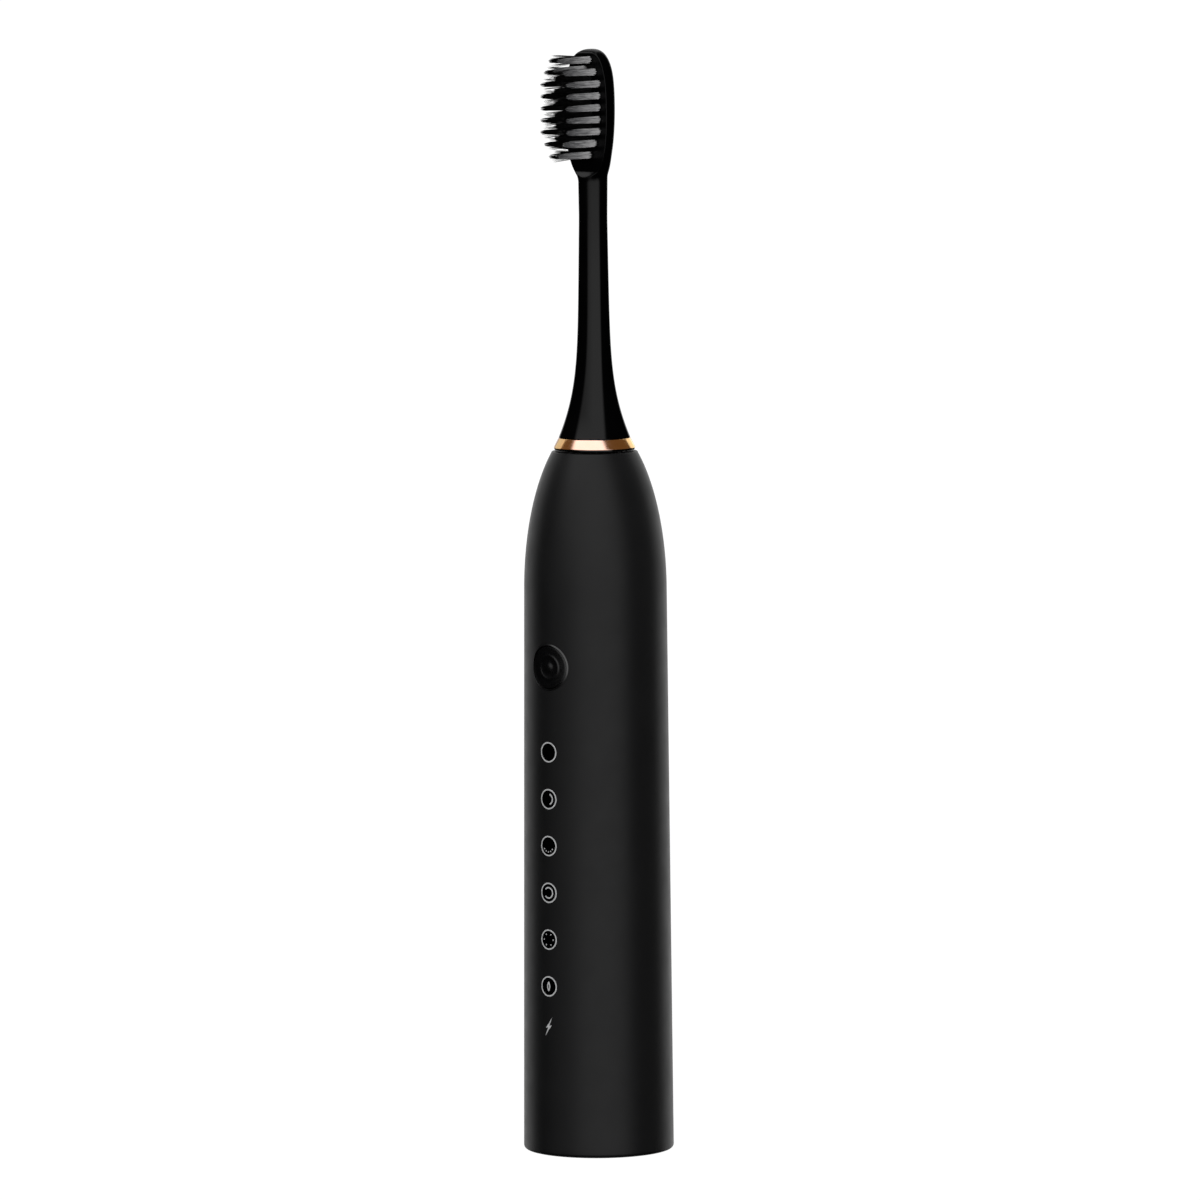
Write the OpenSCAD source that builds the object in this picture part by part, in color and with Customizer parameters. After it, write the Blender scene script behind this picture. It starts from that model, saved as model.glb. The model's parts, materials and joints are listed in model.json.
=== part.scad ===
// Sonic toothbrush: a sealed round handle with a magnetic motor, and a push-on brush head.
// Millimetres. +Z is up along the handle. The origin is the centre of the base, and the
// button, the mode lights and the bristles face -Y.

/* [Handle] */
// Height of the handle, from the base to the flat top of the nose
handle_h = 140.8; // [139.8:0.2:142]
// Radius of the handle at the base
base_r = 15.1; // [15.1:0.1:15.4]
// Radius of the handle at the shoulder, where the dome starts
shoulder_r = 14.3; // [14.3:0.1:14.6]
// Height of the shoulder
shoulder_z = 113; // [112:1:114]
// Radius of the nose
nose_r = 8.7; // [8.6:0.1:9]
// Thickness of the handle's wall
wall = 2.1; // [1.9:0.1:2.1]

/* [Button and lights] */
// Height of the power button's centre
button_z = 98.4; // [97.6:0.1:98.6]
// Radius of the power button
button_r = 4.2; // [4.1:0.05:4.3]
// How far the power button goes in
button_travel = 0.4; // [0.2:0.1:0.4]
// Height of the top mode light
icon_top_z = 81.4; // [80.5:0.1:81.6]
// Height from one mode light to the next
icon_pitch = 9.42; // [9:0.02:9.5]
// Radius of a mode light's ring
icon_r = 2.05; // [1.8:0.05:2.3]
// Width of the lines that draw the mode lights
icon_line = 0.28; // [0.2:0.02:0.34]
// Height of the charge light
charge_light_z = 26.2; // [25.8:0.1:26.6]

/* [Brush head] */
// Length of the brush head, from its accent ring to its tip
head_l = 80.0; // [78.5:0.1:81]
// Gap between the handle's nose and the brush head
head_gap = 0.4; // [0.4:0.1:0.8]
// Height of the accent ring
ring_h = 2.3; // [1.9:0.1:2.4]
// Radius of the accent ring at its foot
ring_r = 8.3; // [8:0.1:8.3]
// Radius of the accent ring at its top, and of the neck's foot
ring_top_r = 7.2; // [7:0.1:7.3]
// Radius of the neck where it is thinnest
neck_r = 2.85; // [2.75:0.05:3]
// Width of the bristle plate
plate_w = 11.0; // [11:0.1:11.8]
// How far the bristle plate's back lies behind the axis
plate_back = 3.6; // [3.6:0.1:4]

/* [Bristles] */
// Diameter of one tuft
tuft_d = 1.5; // [1.3:0.05:1.55]
// Height from one row of tufts to the next
row_pitch = 2.37; // [2.36:0.01:2.4]
// How far the rim tufts stand out from the plate
tuft_l = 9.8; // [8:0.1:9.8]
// How much shorter the inner tufts are
inner_drop = 1.3; // [0.2:0.1:2]

/* [Motor] */
// Radius of the drive shaft
shaft_r = 1.75; // [1.6:0.05:1.75]
// Radial play of the shaft in its bearings and its seal
shaft_play = 0.05; // [0.03:0.01:0.06]
// Radial gap between the rotor's magnets and the stator's poles
air_gap = 0.25; // [0.2:0.05:0.3]

/* [Battery and charging] */
// Radius of the battery cell
cell_r = 7.0; // [6.8:0.1:7.1]
// Length of the battery cell
cell_l = 48.6; // [48:0.1:48.6]
// Radius of the charging socket in the base
socket_r = 5.0; // [4.6:0.1:5]
// Depth of the charging socket
socket_depth = 11.0; // [9:0.5:11]

/* [Hidden] */
$fn = 96;
cut = 1; // how far a cutting tool runs past the face that it cuts

// Handle shell
base_edge = 0.8;
nose_edge = 0.3;
nose_t = 3.4;
nose_bore_r = 5.6;
nose_z = handle_h - nose_t;
dome_h = (handle_h - nose_edge - shoulder_z) / sqrt(1 - pow(nose_r / shoulder_r, 2));
dome_steps = 16;
icon_count = 6;
icon_depth = 0.35;
icon_band = [charge_light_z - 4, icon_top_z + 4];

// Bottom cap, its seal and the parts of the charging coil
cap_seat_r = 13.0;
cap_seat_h = 12;
cap_r = cap_seat_r - 0.05;
cap_z = 0.3;
cap_top = cap_z + 2.2;
skirt = [11.7, 10]; // inner radius and top of the cap's skirt
snap = [8.3, 8.9]; // bottom and top of the snap bead
snap_r = cap_seat_r + 0.2;
seal_z = 6.1;
seal_section = 0.4;
socket_top = cap_z + socket_depth;
socket_wall = 1.2;
socket_out_r = socket_r + socket_wall;
bobbin_top = 11.0;
flange_t = 0.8;
bobbin_r = socket_out_r + 0.7;
coil_r = 8.7;
shield_r = 7.4;
boss_r = 1.3;
boss_at = 10.3;
boss_angles = [-30, 210];
pilot_r = 0.75;

// Inner frame
frame_r = 10.9;
frame_t = 1.0;
frame_arc = [-10, 190];
foot = [14.2, 16];
foot_r = 12.2;
shelves = [[33, 36], [86, 89]]; // bottom and top of each shelf
shelf_front = -8.6;
notch_x = 3.5;
frame_top = [122.5, 124.7];
column_r = 8.5;
column_top = handle_h - 5.8;
retainer_top = handle_h - 4.6;
rail = [[6.5, 7.4], [-9.4, -8.0], [16, 113]];
motor_screw_x = 6.0;

// Circuit board and what it carries
board_x = 6.4;
board_y = [-9.4, shelf_front];
board_z = [21, 112];
board_screw_at = [[5, shelves[0][0] + 1.5], [-5, shelves[1][0] + 1.5]];
baffle_y = [-11.7, board_y[0]];
well_r = 2.0;
led = [1.6, 0.5, 0.8];
switch_w = 3.2;
switch_y = [-10.3, board_y[0]];
stem_r = 0.7;
stem_y = [-10.9, -9.9];

// Power button
button_gap = 0.2;
button_face_r = 14.4;
button_y = [-12.2, -11.1, -10.75]; // back of the keycap, front and back of its flange
button_barrel_r = button_r - 0.1;
button_flange_r = 5.0;
post_r = 0.9;
post_end = stem_y[0] - 0.02;

// Battery
cell_z = shelves[0][1] + 1.0;
pad_t = 0.8;
tab_t = 0.2;

// Motor
case_r = 8.2;
case_t = 0.5;
case_z = [91.4, 120];
motor_z = 89.2;
motor_top = frame_top[0];
bearing_r = 3.5;
rear_bearing_z = [91, 94.5];
front_bearing_z = [123, 127];
bearing_wall = 0.9;
stack_z = [100, 114];
core_r = 3.6;
magnet_r = 4.8;
stator_r = case_r - case_t - 0.05;
yoke_t = 1.05;
pole_w = 2.4;
winding_t = 0.9;
pole_count = 4;
damper_z = [[93, 96], [113, 116]];
bore_r = shaft_r + shaft_play;
clip_z = front_bearing_z[1] + 0.1;
clip_t = 0.6;

// Brush head
head_z = handle_h + head_gap;
neck_z = head_z + ring_h;
tip_z = head_z + head_l;
shaft_top = handle_h + 17.4;
shaft_flat = [handle_h + 3.4, -1.25]; // where the flat starts, and its place in Y
spigot_r = 5.9;
neck_taper = 0.0145; // radius gained for each millimetre down from the waist
waist_z = neck_z + 44;
flare = ring_top_r - neck_r - neck_taper * (waist_z - neck_z);
neck_steps = 24;
face_y = -2.0; // Y of the plate's front
scoop = [[-3.2, tip_z - 25.7], [face_y, tip_z - 24.5]]; // Y and Z where the scoop starts and ends
plate_mid = tip_z - 12.4;
plate_power = 2.6;
plate_top_l = tip_z - plate_mid;
plate_foot_l = 13.4;
plate_steps = 16;
back_axis = -2.1; // Y of the line that the plate's round back is turned about
back_round_z = tip_z - 6.4;
back_power = 2.4;
socket_bore_top = shaft_top + 0.5;
socket_piece_top = shaft_top + 1.2;
cavity_top = shaft_top + 1.6;
cone_top = neck_z + 7.5;
clip_band = [shaft_top - 7, shaft_top - 1];

// Bristles
hole_r = tuft_d / 2 + 0.05;
hole_end = 1.3;
tuft_foot = 0.3;
anchor = [tuft_d - 0.05, 0.25];
top_row_z = tip_z - 2.1;
rim_rows = [1.12, 2.4, 3.36, 3.36, 3.36, 3.36, 3.36, 2.4, 1.12]; // X of each row's two rim tufts
inner_rows = [1.5, 2.5, 3.5, 4.5, 5.5, 6.5]; // rows between them, of two inner tufts each
inner_x = 1.05;
lone_rows = [0.8, 7.2]; // rows of one tuft, in the middle
tip_rows = 2; // rim rows that form the tip

// Wires
wire_r = 0.35;
wire_sides = 8;

// ---- Shared shapes ----

// Round bar about the Z axis, from z0 to z1
module disc(r, z0, z1) {
    translate([0, 0, z0]) cylinder(r = r, h = z1 - z0);
}

// Round bar with a hole, about the Z axis
module tube(r_out, r_in, z0, z1) {
    difference() {
        disc(r_out, z0, z1);
        disc(r_in, z0 - cut, z1 + cut);
    }
}

// Part of a tube's wall, from angle a0 to angle a1
module arc_wall(r_out, r_in, a0, a1, z0, z1) {
    translate([0, 0, z0]) rotate(a0) rotate_extrude(angle = a1 - a0)
        translate([r_in, 0]) square([r_out - r_in, z1 - z0]);
}

// Round bar along the Y axis, from y0 to y1
module bar_y(r, y0, y1) {
    translate([0, y0, 0]) rotate([-90, 0, 0]) cylinder(r = r, h = y1 - y0);
}

// Block between the two ends given for each axis
module block(x, y, z) {
    translate([x[0], y[0], z[0]]) cube([x[1] - x[0], y[1] - y[0], z[1] - z[0]]);
}

// Children, and the same ones mirrored to the other side of the YZ plane
module both_sides() {
    children();
    mirror([1, 0, 0]) children();
}

// List in the opposite order
function reversed(list) = [for (i = [len(list) - 1:-1:0]) list[i]];

// Smooth step from 0 to 1 as t goes from 0 to 1
function ease(t) = let (u = min(max(t, 0), 1)) u * u * (3 - 2 * u);

// Straight wire through points in a plane of constant X, with flat ends square to Z
module wire(x, path) {
    ring = [for (i = [0:wire_sides - 1]) 360 * i / wire_sides];
    last = (len(path) - 1) * wire_sides;
    points = [for (p = path, a = ring) [x + wire_r * cos(a), p[0] + wire_r * sin(a), p[1]]];
    sides = [for (k = [0:len(path) - 2], i = [0:wire_sides - 1]) let (j = (i + 1) % wire_sides)
        [k * wire_sides + j, k * wire_sides + i, (k + 1) * wire_sides + i, (k + 1) * wire_sides + j]];
    foot_face = [for (i = [0:wire_sides - 1]) i];
    top_face = [for (i = [wire_sides - 1:-1:0]) last + i];
    polyhedron(points, concat([foot_face], sides, [top_face]));
}

// ---- Handle: outside ----

// Radius of the handle's straight part at height z
function outer_r(z) = base_r + (shoulder_r - base_r) * z / shoulder_z;

// Points up the dome to height z_top, moved in by inset
function dome_arc(z_top, inset) = let (end = asin((z_top - shoulder_z) / dome_h)) [
    for (i = [0:dome_steps]) let (a = end * i / dome_steps)
        [shoulder_r * cos(a) - inset, shoulder_z + dome_h * sin(a)]
];

// Rounded edge at the foot of the handle
function base_arc() = [
    for (a = [-90:15:0])
        [outer_r(base_edge) + base_edge * (cos(a) - 1), base_edge * (1 + sin(a))]
];

// Inside of the shell, from the nose down to the cap's seat
function shell_inside() = concat(
    [[nose_bore_r, handle_h], [nose_bore_r, nose_z]],
    reversed(dome_arc(nose_z, wall)),
    [
        [outer_r(cap_seat_h) - wall, cap_seat_h], [cap_seat_r, cap_seat_h],
        [cap_seat_r, snap[1] + 0.3], [snap_r + 0.05, snap[1] + 0.05],
        [snap_r + 0.05, snap[0] - 0.05], [cap_seat_r, snap[0] - 0.3], [cap_seat_r, 0]
    ]
);

// Outer layer of the handle's straight part, from proud of the surface to depth below it
module skin(proud, depth) {
    h = icon_band[1] - icon_band[0];
    r = [outer_r(icon_band[0]), outer_r(icon_band[1])];
    translate([0, 0, icon_band[0]]) difference() {
        cylinder(r1 = r[0] + proud, r2 = r[1] + proud, h = h);
        translate([0, 0, -cut]) cylinder(
            r1 = r[0] - depth + (r[0] - r[1]) * cut / h, r2 = r[1] - depth - (r[0] - r[1]) * cut / h,
            h = h + 2 * cut);
    }
}

// Flat ring of the icon's line width
module line_ring(r) {
    difference() {
        circle(r);
        circle(r - icon_line);
    }
}

// Part of a flat ring, from angle a0 to angle a1
module line_arc(r, a0, a1) {
    steps = 12;
    outside = [for (i = [0:steps]) let (a = a0 + (a1 - a0) * i / steps) r * [cos(a), sin(a)]];
    inside = [for (p = reversed(outside)) p * (r - icon_line) / r];
    polygon(concat(outside, inside));
}

// Dots of the icon's line width on a circle, from angle a0 to angle a1
module dots(r, count, a0, a1) {
    for (i = [0:count - 1])
        rotate(a0 + (a1 - a0) * i / (count - 1)) translate([r, 0]) circle(icon_line / 2, $fn = 24);
}

// Mark inside the mode ring number k: a different simple mark for each mode
module mode_mark(k) {
    mark_r = icon_r * 0.58;
    if (k == 1) line_arc(mark_r, -70, 70);
    if (k == 2) dots(mark_r, 5, -150, -30);
    if (k == 3) line_arc(mark_r, -140, 140);
    if (k == 4) dots(mark_r, 6, 0, 300);
    if (k == 5) both_flat() translate([-mark_r * 0.75, 0]) line_arc(mark_r * 1.1, -50, 50);
}

// Children, and the same ones mirrored left to right
module both_flat() {
    children();
    mirror([1, 0]) children();
}

// Lightning bolt, as two slanted strokes that meet
module bolt() {
    polygon([[0.35, 1.9], [-0.95, -0.25], [-0.1, -0.15], [-0.35, -1.9], [0.95, 0.25], [0.1, 0.15]]);
}

// Mode lights and charge light as bars along Y, for cutting and for filling
module icon_bars() {
    translate([0, -10, 0]) rotate([90, 0, 0]) linear_extrude(10) {
        for (k = [0:icon_count - 1]) translate([0, icon_top_z - icon_pitch * k]) {
            line_ring(icon_r);
            mode_mark(k);
        }
        translate([0, charge_light_z]) bolt();
    }
}

module handle_shell() {
    outline = concat(
        base_arc(), dome_arc(handle_h - nose_edge, 0), [[nose_r - nose_edge, handle_h]], shell_inside());
    color("#1b1b1d") difference() {
        rotate_extrude() polygon(outline);
        translate([0, 0, button_z]) bar_y(button_r + button_gap, -base_r - cut, 0);
        intersection() {
            icon_bars();
            skin(cut, icon_depth);
        }
    }
}

module mode_icons() {
    color("#c9cbcd") intersection() {
        icon_bars();
        skin(0, icon_depth);
    }
}

module button_gasket() {
    r_wall = outer_r(button_z + button_flange_r) - wall - 0.02;
    color("#101010") intersection() {
        translate([0, 0, button_z]) difference() {
            bar_y(button_flange_r, -base_r, button_y[1] - 0.05);
            bar_y(button_barrel_r + 0.2, -base_r - cut, 0);
        }
        disc(r_wall, button_z - 2 * button_r, button_z + 2 * button_r);
    }
}

module power_button() {
    color("#161618") {
        translate([0, 0, button_z]) difference() {
            union() {
                intersection() {
                    bar_y(button_r, -base_r, button_y[0]);
                    disc(button_face_r, -2 * button_r, 2 * button_r);
                }
                bar_y(button_barrel_r, button_y[0], button_y[1]);
                bar_y(button_flange_r, button_y[1], button_y[2]);
            }
            difference() {
                bar_y(button_barrel_r - 0.75, button_y[0], 0);
                bar_y(post_r, button_y[0] - cut, post_end);
            }
        }
    }
}

// ---- Handle: nose ----

module shaft_seal() {
    color("#2a2a2c") difference() {
        union() {
            disc(nose_bore_r, nose_z, handle_h);
            disc(nose_bore_r + 1.2, retainer_top, nose_z);
        }
        disc(bore_r, retainer_top - cut, handle_h + cut);
        translate([0, 0, handle_h - 1.0]) cylinder(r1 = bore_r, r2 = bore_r + 1.4, h = 1.0 + 0.001);
    }
}

module seal_retainer() {
    color("#e2e0da") tube(column_r - 0.1, 2.6, column_top, retainer_top);
}

// ---- Handle: inner frame ----

// Front half of the frame's cuts: the way for the wires past a shelf
module wire_notch(z, y_back) {
    block([-notch_x, notch_x], [-foot_r - cut, y_back], [z[0] - cut, z[1] + cut]);
}

module frame_plates() {
    disc(foot_r, foot[0], foot[1]);
    for (z = shelves) difference() {
        disc(frame_r, z[0], z[1]);
        block([-frame_r, frame_r], [-frame_r - cut, shelf_front], [z[0] - cut, z[1] + cut]);
    }
    disc(frame_r, frame_top[0], frame_top[1]);
}

module inner_frame() {
    color("#d9d7cf") difference() {
        union() {
            frame_plates();
            arc_wall(frame_r, frame_r - frame_t, frame_arc[0], frame_arc[1], foot[0], frame_top[1]);
            tube(column_r, column_r - 0.8, frame_top[1], column_top);
            both_sides() block(rail[0], rail[1], rail[2]);
        }
        wire_notch(foot, -7.3);
        wire_notch(shelves[1], -7.2);
        disc(bearing_r + bearing_wall + 0.2, frame_top[0] - cut, frame_top[1] + cut);
        both_sides() translate([motor_screw_x, 0, 0]) disc(pilot_r, frame_top[0] - cut, frame_top[1] + cut);
        for (a = boss_angles) rotate(a) translate([boss_at, 0, 0]) disc(pilot_r, foot[0] - cut, foot[1] + cut);
        for (p = board_screw_at) translate([p[0], 0, p[1]]) bar_y(pilot_r, shelf_front - cut, -5.5);
    }
}

// Pan-head screw down the Z axis: the head's underside at z, the tip at z_tip
module screw_z(z, z_tip, head_r, head_h) {
    difference() {
        union() {
            disc(head_r, z, z + head_h);
            disc(pilot_r - 0.01, z_tip, z);
        }
        for (a = [0, 90]) rotate(a)
            block([-head_r * 0.6, head_r * 0.6], [-0.15, 0.15], [z + head_h * 0.5, z + head_h + cut]);
    }
}

module frame_screws() {
    color("#9da1a6") for (a = boss_angles)
        rotate(a) translate([boss_at, 0, 0]) screw_z(foot[1], 6, 1.5, 1.2);
}

module motor_screws() {
    color("#9da1a6") both_sides()
        translate([motor_screw_x, 0, 0]) screw_z(frame_top[1], 120.4, 1.2, 0.9);
}

// ---- Motor ----

module motor_case() {
    color("#a9adb2") tube(case_r, case_r - case_t, case_z[0], case_z[1]);
}

module motor_rear_cap() {
    color("#303236") difference() {
        union() {
            disc(case_r, motor_z, case_z[0]);
            disc(bearing_r + bearing_wall, case_z[0], rear_bearing_z[1]);
        }
        disc(bearing_r, rear_bearing_z[0], rear_bearing_z[1] + cut);
        disc(bore_r + 0.4, rear_bearing_z[0] - 0.4, rear_bearing_z[0] + cut);
    }
}

module motor_front_cap() {
    color("#303236") difference() {
        union() {
            disc(case_r, case_z[1], motor_top);
            disc(bearing_r + bearing_wall, motor_top, front_bearing_z[1]);
        }
        disc(bearing_r, front_bearing_z[0], front_bearing_z[1] + cut);
        disc(bore_r + 0.4, case_z[1] - cut, front_bearing_z[0] + cut);
        both_sides() translate([motor_screw_x, 0, 0]) disc(pilot_r, 120.2, motor_top + cut);
    }
}

module front_bearing() {
    color("#b98a4e") tube(bearing_r, bore_r, front_bearing_z[0], front_bearing_z[1]);
}

module rear_bearing() {
    color("#b98a4e") tube(bearing_r, bore_r, rear_bearing_z[0], rear_bearing_z[1]);
}

// One child for each pole of the stator
module each_pole() {
    for (k = [0:pole_count - 1]) rotate(45 + 360 * k / pole_count) children();
}

// Iron of one pole, made wider on each side by extra
module pole(extra) {
    block([magnet_r + air_gap, stator_r - yoke_t + 0.3], [-pole_w / 2 - extra, pole_w / 2 + extra],
        [stack_z[0] - extra, stack_z[1] + extra]);
}

module stator_core() {
    color("#5c6066") {
        tube(stator_r, stator_r - yoke_t, stack_z[0], stack_z[1]);
        each_pole() pole(0);
    }
}

module stator_windings() {
    coil_in = magnet_r + air_gap + 0.1;
    coil_out = stator_r - yoke_t - 0.05;
    color("#b5622a") intersection() {
        each_pole() difference() {
            block([coil_in, coil_out], (pole_w / 2 + winding_t) * [-1, 1],
                [stack_z[0] - winding_t, stack_z[1] + winding_t]);
            pole(0.02);
        }
        disc(coil_out, stack_z[0] - 2 * winding_t, stack_z[1] + 2 * winding_t);
    }
}

module motor_dampers() {
    color("#3a3a3d") for (z = damper_z) difference() {
        tube(frame_r - frame_t, case_r, z[0], z[1]);
        block([-frame_r, frame_r], [-frame_r - cut, -8.3], [z[0] - cut, z[1] + cut]);
    }
}

module rotor_core() {
    color("#70757c") tube(core_r, shaft_r, stack_z[0], stack_z[1]);
}

module rotor_magnets() {
    color("#8f9399") for (k = [0:pole_count - 1])
        arc_wall(magnet_r, core_r, 90 * k + 3, 90 * k + 87, stack_z[0], stack_z[1]);
}

module drive_shaft() {
    color("#c4c8cc") difference() {
        disc(shaft_r, rear_bearing_z[0] + 0.2, shaft_top);
        block([-5, 5], [-5, shaft_flat[1]], [shaft_flat[0], shaft_top + cut]);
        tube(5, shaft_r - 0.3, clip_z, clip_z + clip_t);
        tube(5, shaft_r - 0.3, shaft_top - 5, shaft_top - 3.8);
    }
}

module shaft_clip() {
    color("#8b9096") arc_wall(3.0, shaft_r - 0.3, -60, 240, clip_z, clip_z + clip_t);
}

module motor_leads() {
    color("#a33a2c") both_sides() wire(2.5, [[-8.25, 83.5], [-8.25, 86.5], [-7.85, 88], [-7.85, motor_z]]);
}

// ---- Circuit board ----

module circuit_board() {
    color("#1f5a3a") difference() {
        block([-board_x, board_x], board_y, board_z);
        for (p = board_screw_at) translate([p[0], 0, p[1]]) bar_y(pilot_r, board_y[0] - cut, 0);
    }
}

module board_components() {
    color("#202225") {
        block([-2.5, 2.5], [board_y[0] - 1.0, board_y[0]], [103.6, 108.6]);
        block([-2.0, 2.0], [board_y[0] - 0.9, board_y[0]], [86.2, 90.2]);
        for (z = [104, 106.2, 108.4]) both_sides()
            block([3.6, 5.0], [board_y[0] - 0.6, board_y[0]], [z, z + 0.8]);
    }
}

module board_screws() {
    color("#9da1a6") for (p = board_screw_at) translate([p[0], 0, p[1]]) {
        bar_y(1.2, board_y[0] - 0.8, board_y[0]);
        bar_y(pilot_r - 0.01, board_y[0], -6);
    }
}

// Heights of the lights, from the top mode light down to the charge light
function light_heights() = concat(
    [for (k = [0:icon_count - 1]) icon_top_z - icon_pitch * k], [charge_light_z]);

module mode_leds() {
    color("#f2f2ea") for (z = light_heights())
        block(led[0] / 2 * [-1, 1], [board_y[0] - led[1], board_y[0]], [z - led[2] / 2, z + led[2] / 2]);
}

module led_baffle() {
    color("#e8e8e4") difference() {
        block([-3.2, 3.2], baffle_y, [charge_light_z - 3.3, icon_top_z + 3.5]);
        for (z = light_heights()) translate([0, 0, z]) bar_y(well_r, baffle_y[0] - cut, 0);
    }
}

module switch_body() {
    color("#2c2e31") translate([0, 0, button_z]) difference() {
        block(switch_w / 2 * [-1, 1], switch_y, switch_w / 2 * [-1, 1]);
        bar_y(stem_r + 0.05, switch_y[0] - cut, switch_y[1] - 0.05);
    }
}

module switch_stem() {
    color("#d9b44a") translate([0, 0, button_z]) bar_y(stem_r, stem_y[0], stem_y[1]);
}

// ---- Battery ----

module battery_cell() {
    color("#3d6f9e") {
        disc(cell_r, cell_z, cell_z + cell_l - 0.6);
        disc(cell_r - 3.5, cell_z + cell_l - 0.6, cell_z + cell_l);
    }
}

module battery_tabs() {
    color("#c2c4c6") for (z = [cell_z - tab_t, cell_z + cell_l])
        block([-1.5, 1.5], [board_y[1], 2], [z, z + tab_t]);
}

module battery_pad() {
    color("#4a4a4d") disc(cell_r - 0.6, cell_z - tab_t - pad_t, cell_z - tab_t);
}

// ---- Base: charging coil and bottom cap ----

module coil_bobbin() {
    color("#e0ded6") difference() {
        union() {
            disc(bobbin_r, cap_top, bobbin_top);
            disc(coil_r + 0.2, cap_top, cap_top + flange_t);
            disc(coil_r + 0.2, bobbin_top - flange_t, bobbin_top);
        }
        disc(socket_out_r + 0.1, cap_top - cut, bobbin_top + cut);
    }
}

module charging_coil() {
    color("#b5622a") tube(coil_r, bobbin_r, cap_top + flange_t, bobbin_top - flange_t);
}

module shield_plate() {
    color("#3b3d40") disc(shield_r, socket_top + 1.5, foot[0]);
}

module coil_leads() {
    color("#a33a2c") both_sides() wire(2, [[-8.1, bobbin_top], [-8.1, 18], [-8.25, 20], [-8.25, 24]]);
}

module bottom_cap() {
    color("#1b1b1d") difference() {
        union() {
            disc(cap_r, cap_z, cap_top);
            tube(cap_r, skirt[0], cap_top, skirt[1]);
            tube(snap_r, skirt[0], snap[0], snap[1]);
            disc(socket_out_r, cap_top, socket_top + 1.5);
            for (a = boss_angles) rotate(a) translate([boss_at, 0, 0]) disc(boss_r, cap_top, foot[0]);
        }
        disc(socket_r, cap_z - cut, socket_top);
        tube(cap_seat_r + cut, cap_seat_r - 0.85, seal_z - 0.9, seal_z + 0.9);
        for (a = boss_angles) rotate(a) translate([boss_at, 0, 0]) disc(pilot_r, 5.5, foot[0] + cut);
        for (a = [30:120:270]) rotate(a) translate([9, 0, 0]) disc(1.2, cap_z - cut, cap_z + 1);
    }
}

module cap_seal() {
    color("#2f6f8f") translate([0, 0, seal_z]) rotate_extrude()
        translate([cap_seat_r - seal_section - 0.02, 0]) circle(seal_section, $fn = 32);
}

// ---- Brush head ----

// Radius of the neck at height z: a straight taper with a flare at its foot
function neck_at(z) = let (x = z - neck_z)
    neck_r + neck_taper * max(waist_z - z, (z - waist_z) * 0.8) + flare * exp(-0.105 * x - 0.0031 * x * x);

// Half width of the bristle plate at height z
function plate_half(z) = let (
        l = z > plate_mid ? plate_top_l : plate_foot_l,
        t = min(abs(z - plate_mid) / l, 1))
    plate_w / 2 * pow(1 - pow(t, plate_power), 1 / plate_power);

// How far the plate's back lies behind the axis at height z
function back_at(z) = let (
        rise = neck_r + 0.1 + (plate_back - neck_r - 0.1) * ease((z - waist_z - 10) / 13),
        t = min(max((z - back_round_z) / (tip_z - back_round_z), 0), 1))
    rise * pow(1 - pow(t, back_power), 1 / back_power);

// Heights on the plate, closer together towards both of its ends
function plate_heights() = concat(
    [for (i = [0:plate_steps]) plate_mid - plate_foot_l * cos(90 * i / plate_steps)],
    [for (i = [1:plate_steps]) plate_mid + plate_top_l * sin(90 * i / plate_steps)]);

// Neck, cut away in front where it runs out into the bristle plate
module neck() {
    outline = [for (i = [0:neck_steps])
        let (z = neck_z + (scoop[1][1] - neck_z) * pow(i / neck_steps, 1.4)) [neck_at(z), z]];
    difference() {
        union() {
            rotate_extrude() polygon(concat([[0, neck_z]], outline, [[0, scoop[1][1]]]));
            disc(spigot_r, head_z + 0.3, neck_z);
        }
        rotate([90, 0, 90]) linear_extrude(20, center = true) polygon([
            scoop[0], scoop[1], [face_y, scoop[1][1] + cut], [scoop[0][0] - cut, scoop[1][1] + cut],
            [scoop[0][0] - cut, scoop[0][1]]]);
    }
}

// Bristle plate: flat in front, with a round back and a rounded outline
module plate() {
    heights = plate_heights();
    right = [for (z = heights) [plate_half(z), z]];
    left = [for (z = reversed([for (i = [1:len(heights) - 2]) heights[i]])) [-plate_half(z), z]];
    back = [for (z = heights) [back_at(z) - back_axis, z]];
    intersection() {
        translate([0, 10, 0]) rotate([90, 0, 0]) linear_extrude(10 - face_y) polygon(concat(right, left));
        translate([0, back_axis, 0]) rotate_extrude()
            polygon(concat([[0, heights[0]]], back, [[0, tip_z]]));
    }
}

// Children at a tuft's X, and at the height of a row counted down from the top one
module at_row(x, row) {
    translate([x, 0, top_row_z - row_pitch * row]) children();
}

// One child for each tuft of the tip rows
module each_tip_tuft() {
    for (k = [0:tip_rows - 1], side = [-1, 1]) at_row(side * rim_rows[k], k) children();
    at_row(0, lone_rows[0]) children();
}

// One child for each rim tuft below the tip rows
module each_outer_tuft() {
    for (k = [tip_rows:len(rim_rows) - 1], side = [-1, 1]) at_row(side * rim_rows[k], k) children();
}

// One child for each tuft inside the rim
module each_inner_tuft() {
    for (k = inner_rows, side = [-1, 1]) at_row(side * inner_x, k) children();
    at_row(0, lone_rows[1]) children();
}

// One child for each tuft of the brush
module each_tuft() {
    each_tip_tuft() children();
    each_outer_tuft() children();
    each_inner_tuft() children();
}

module head_shell() {
    color("#111113") difference() {
        union() {
            neck();
            plate();
        }
        translate([0, 0, head_z]) cylinder(r1 = 5.06, r2 = 3.4, h = cone_top - head_z);
        disc(2.7, cone_top - cut, cavity_top);
        each_tuft() bar_y(hole_r, face_y - cut, hole_end);
    }
}

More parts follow.
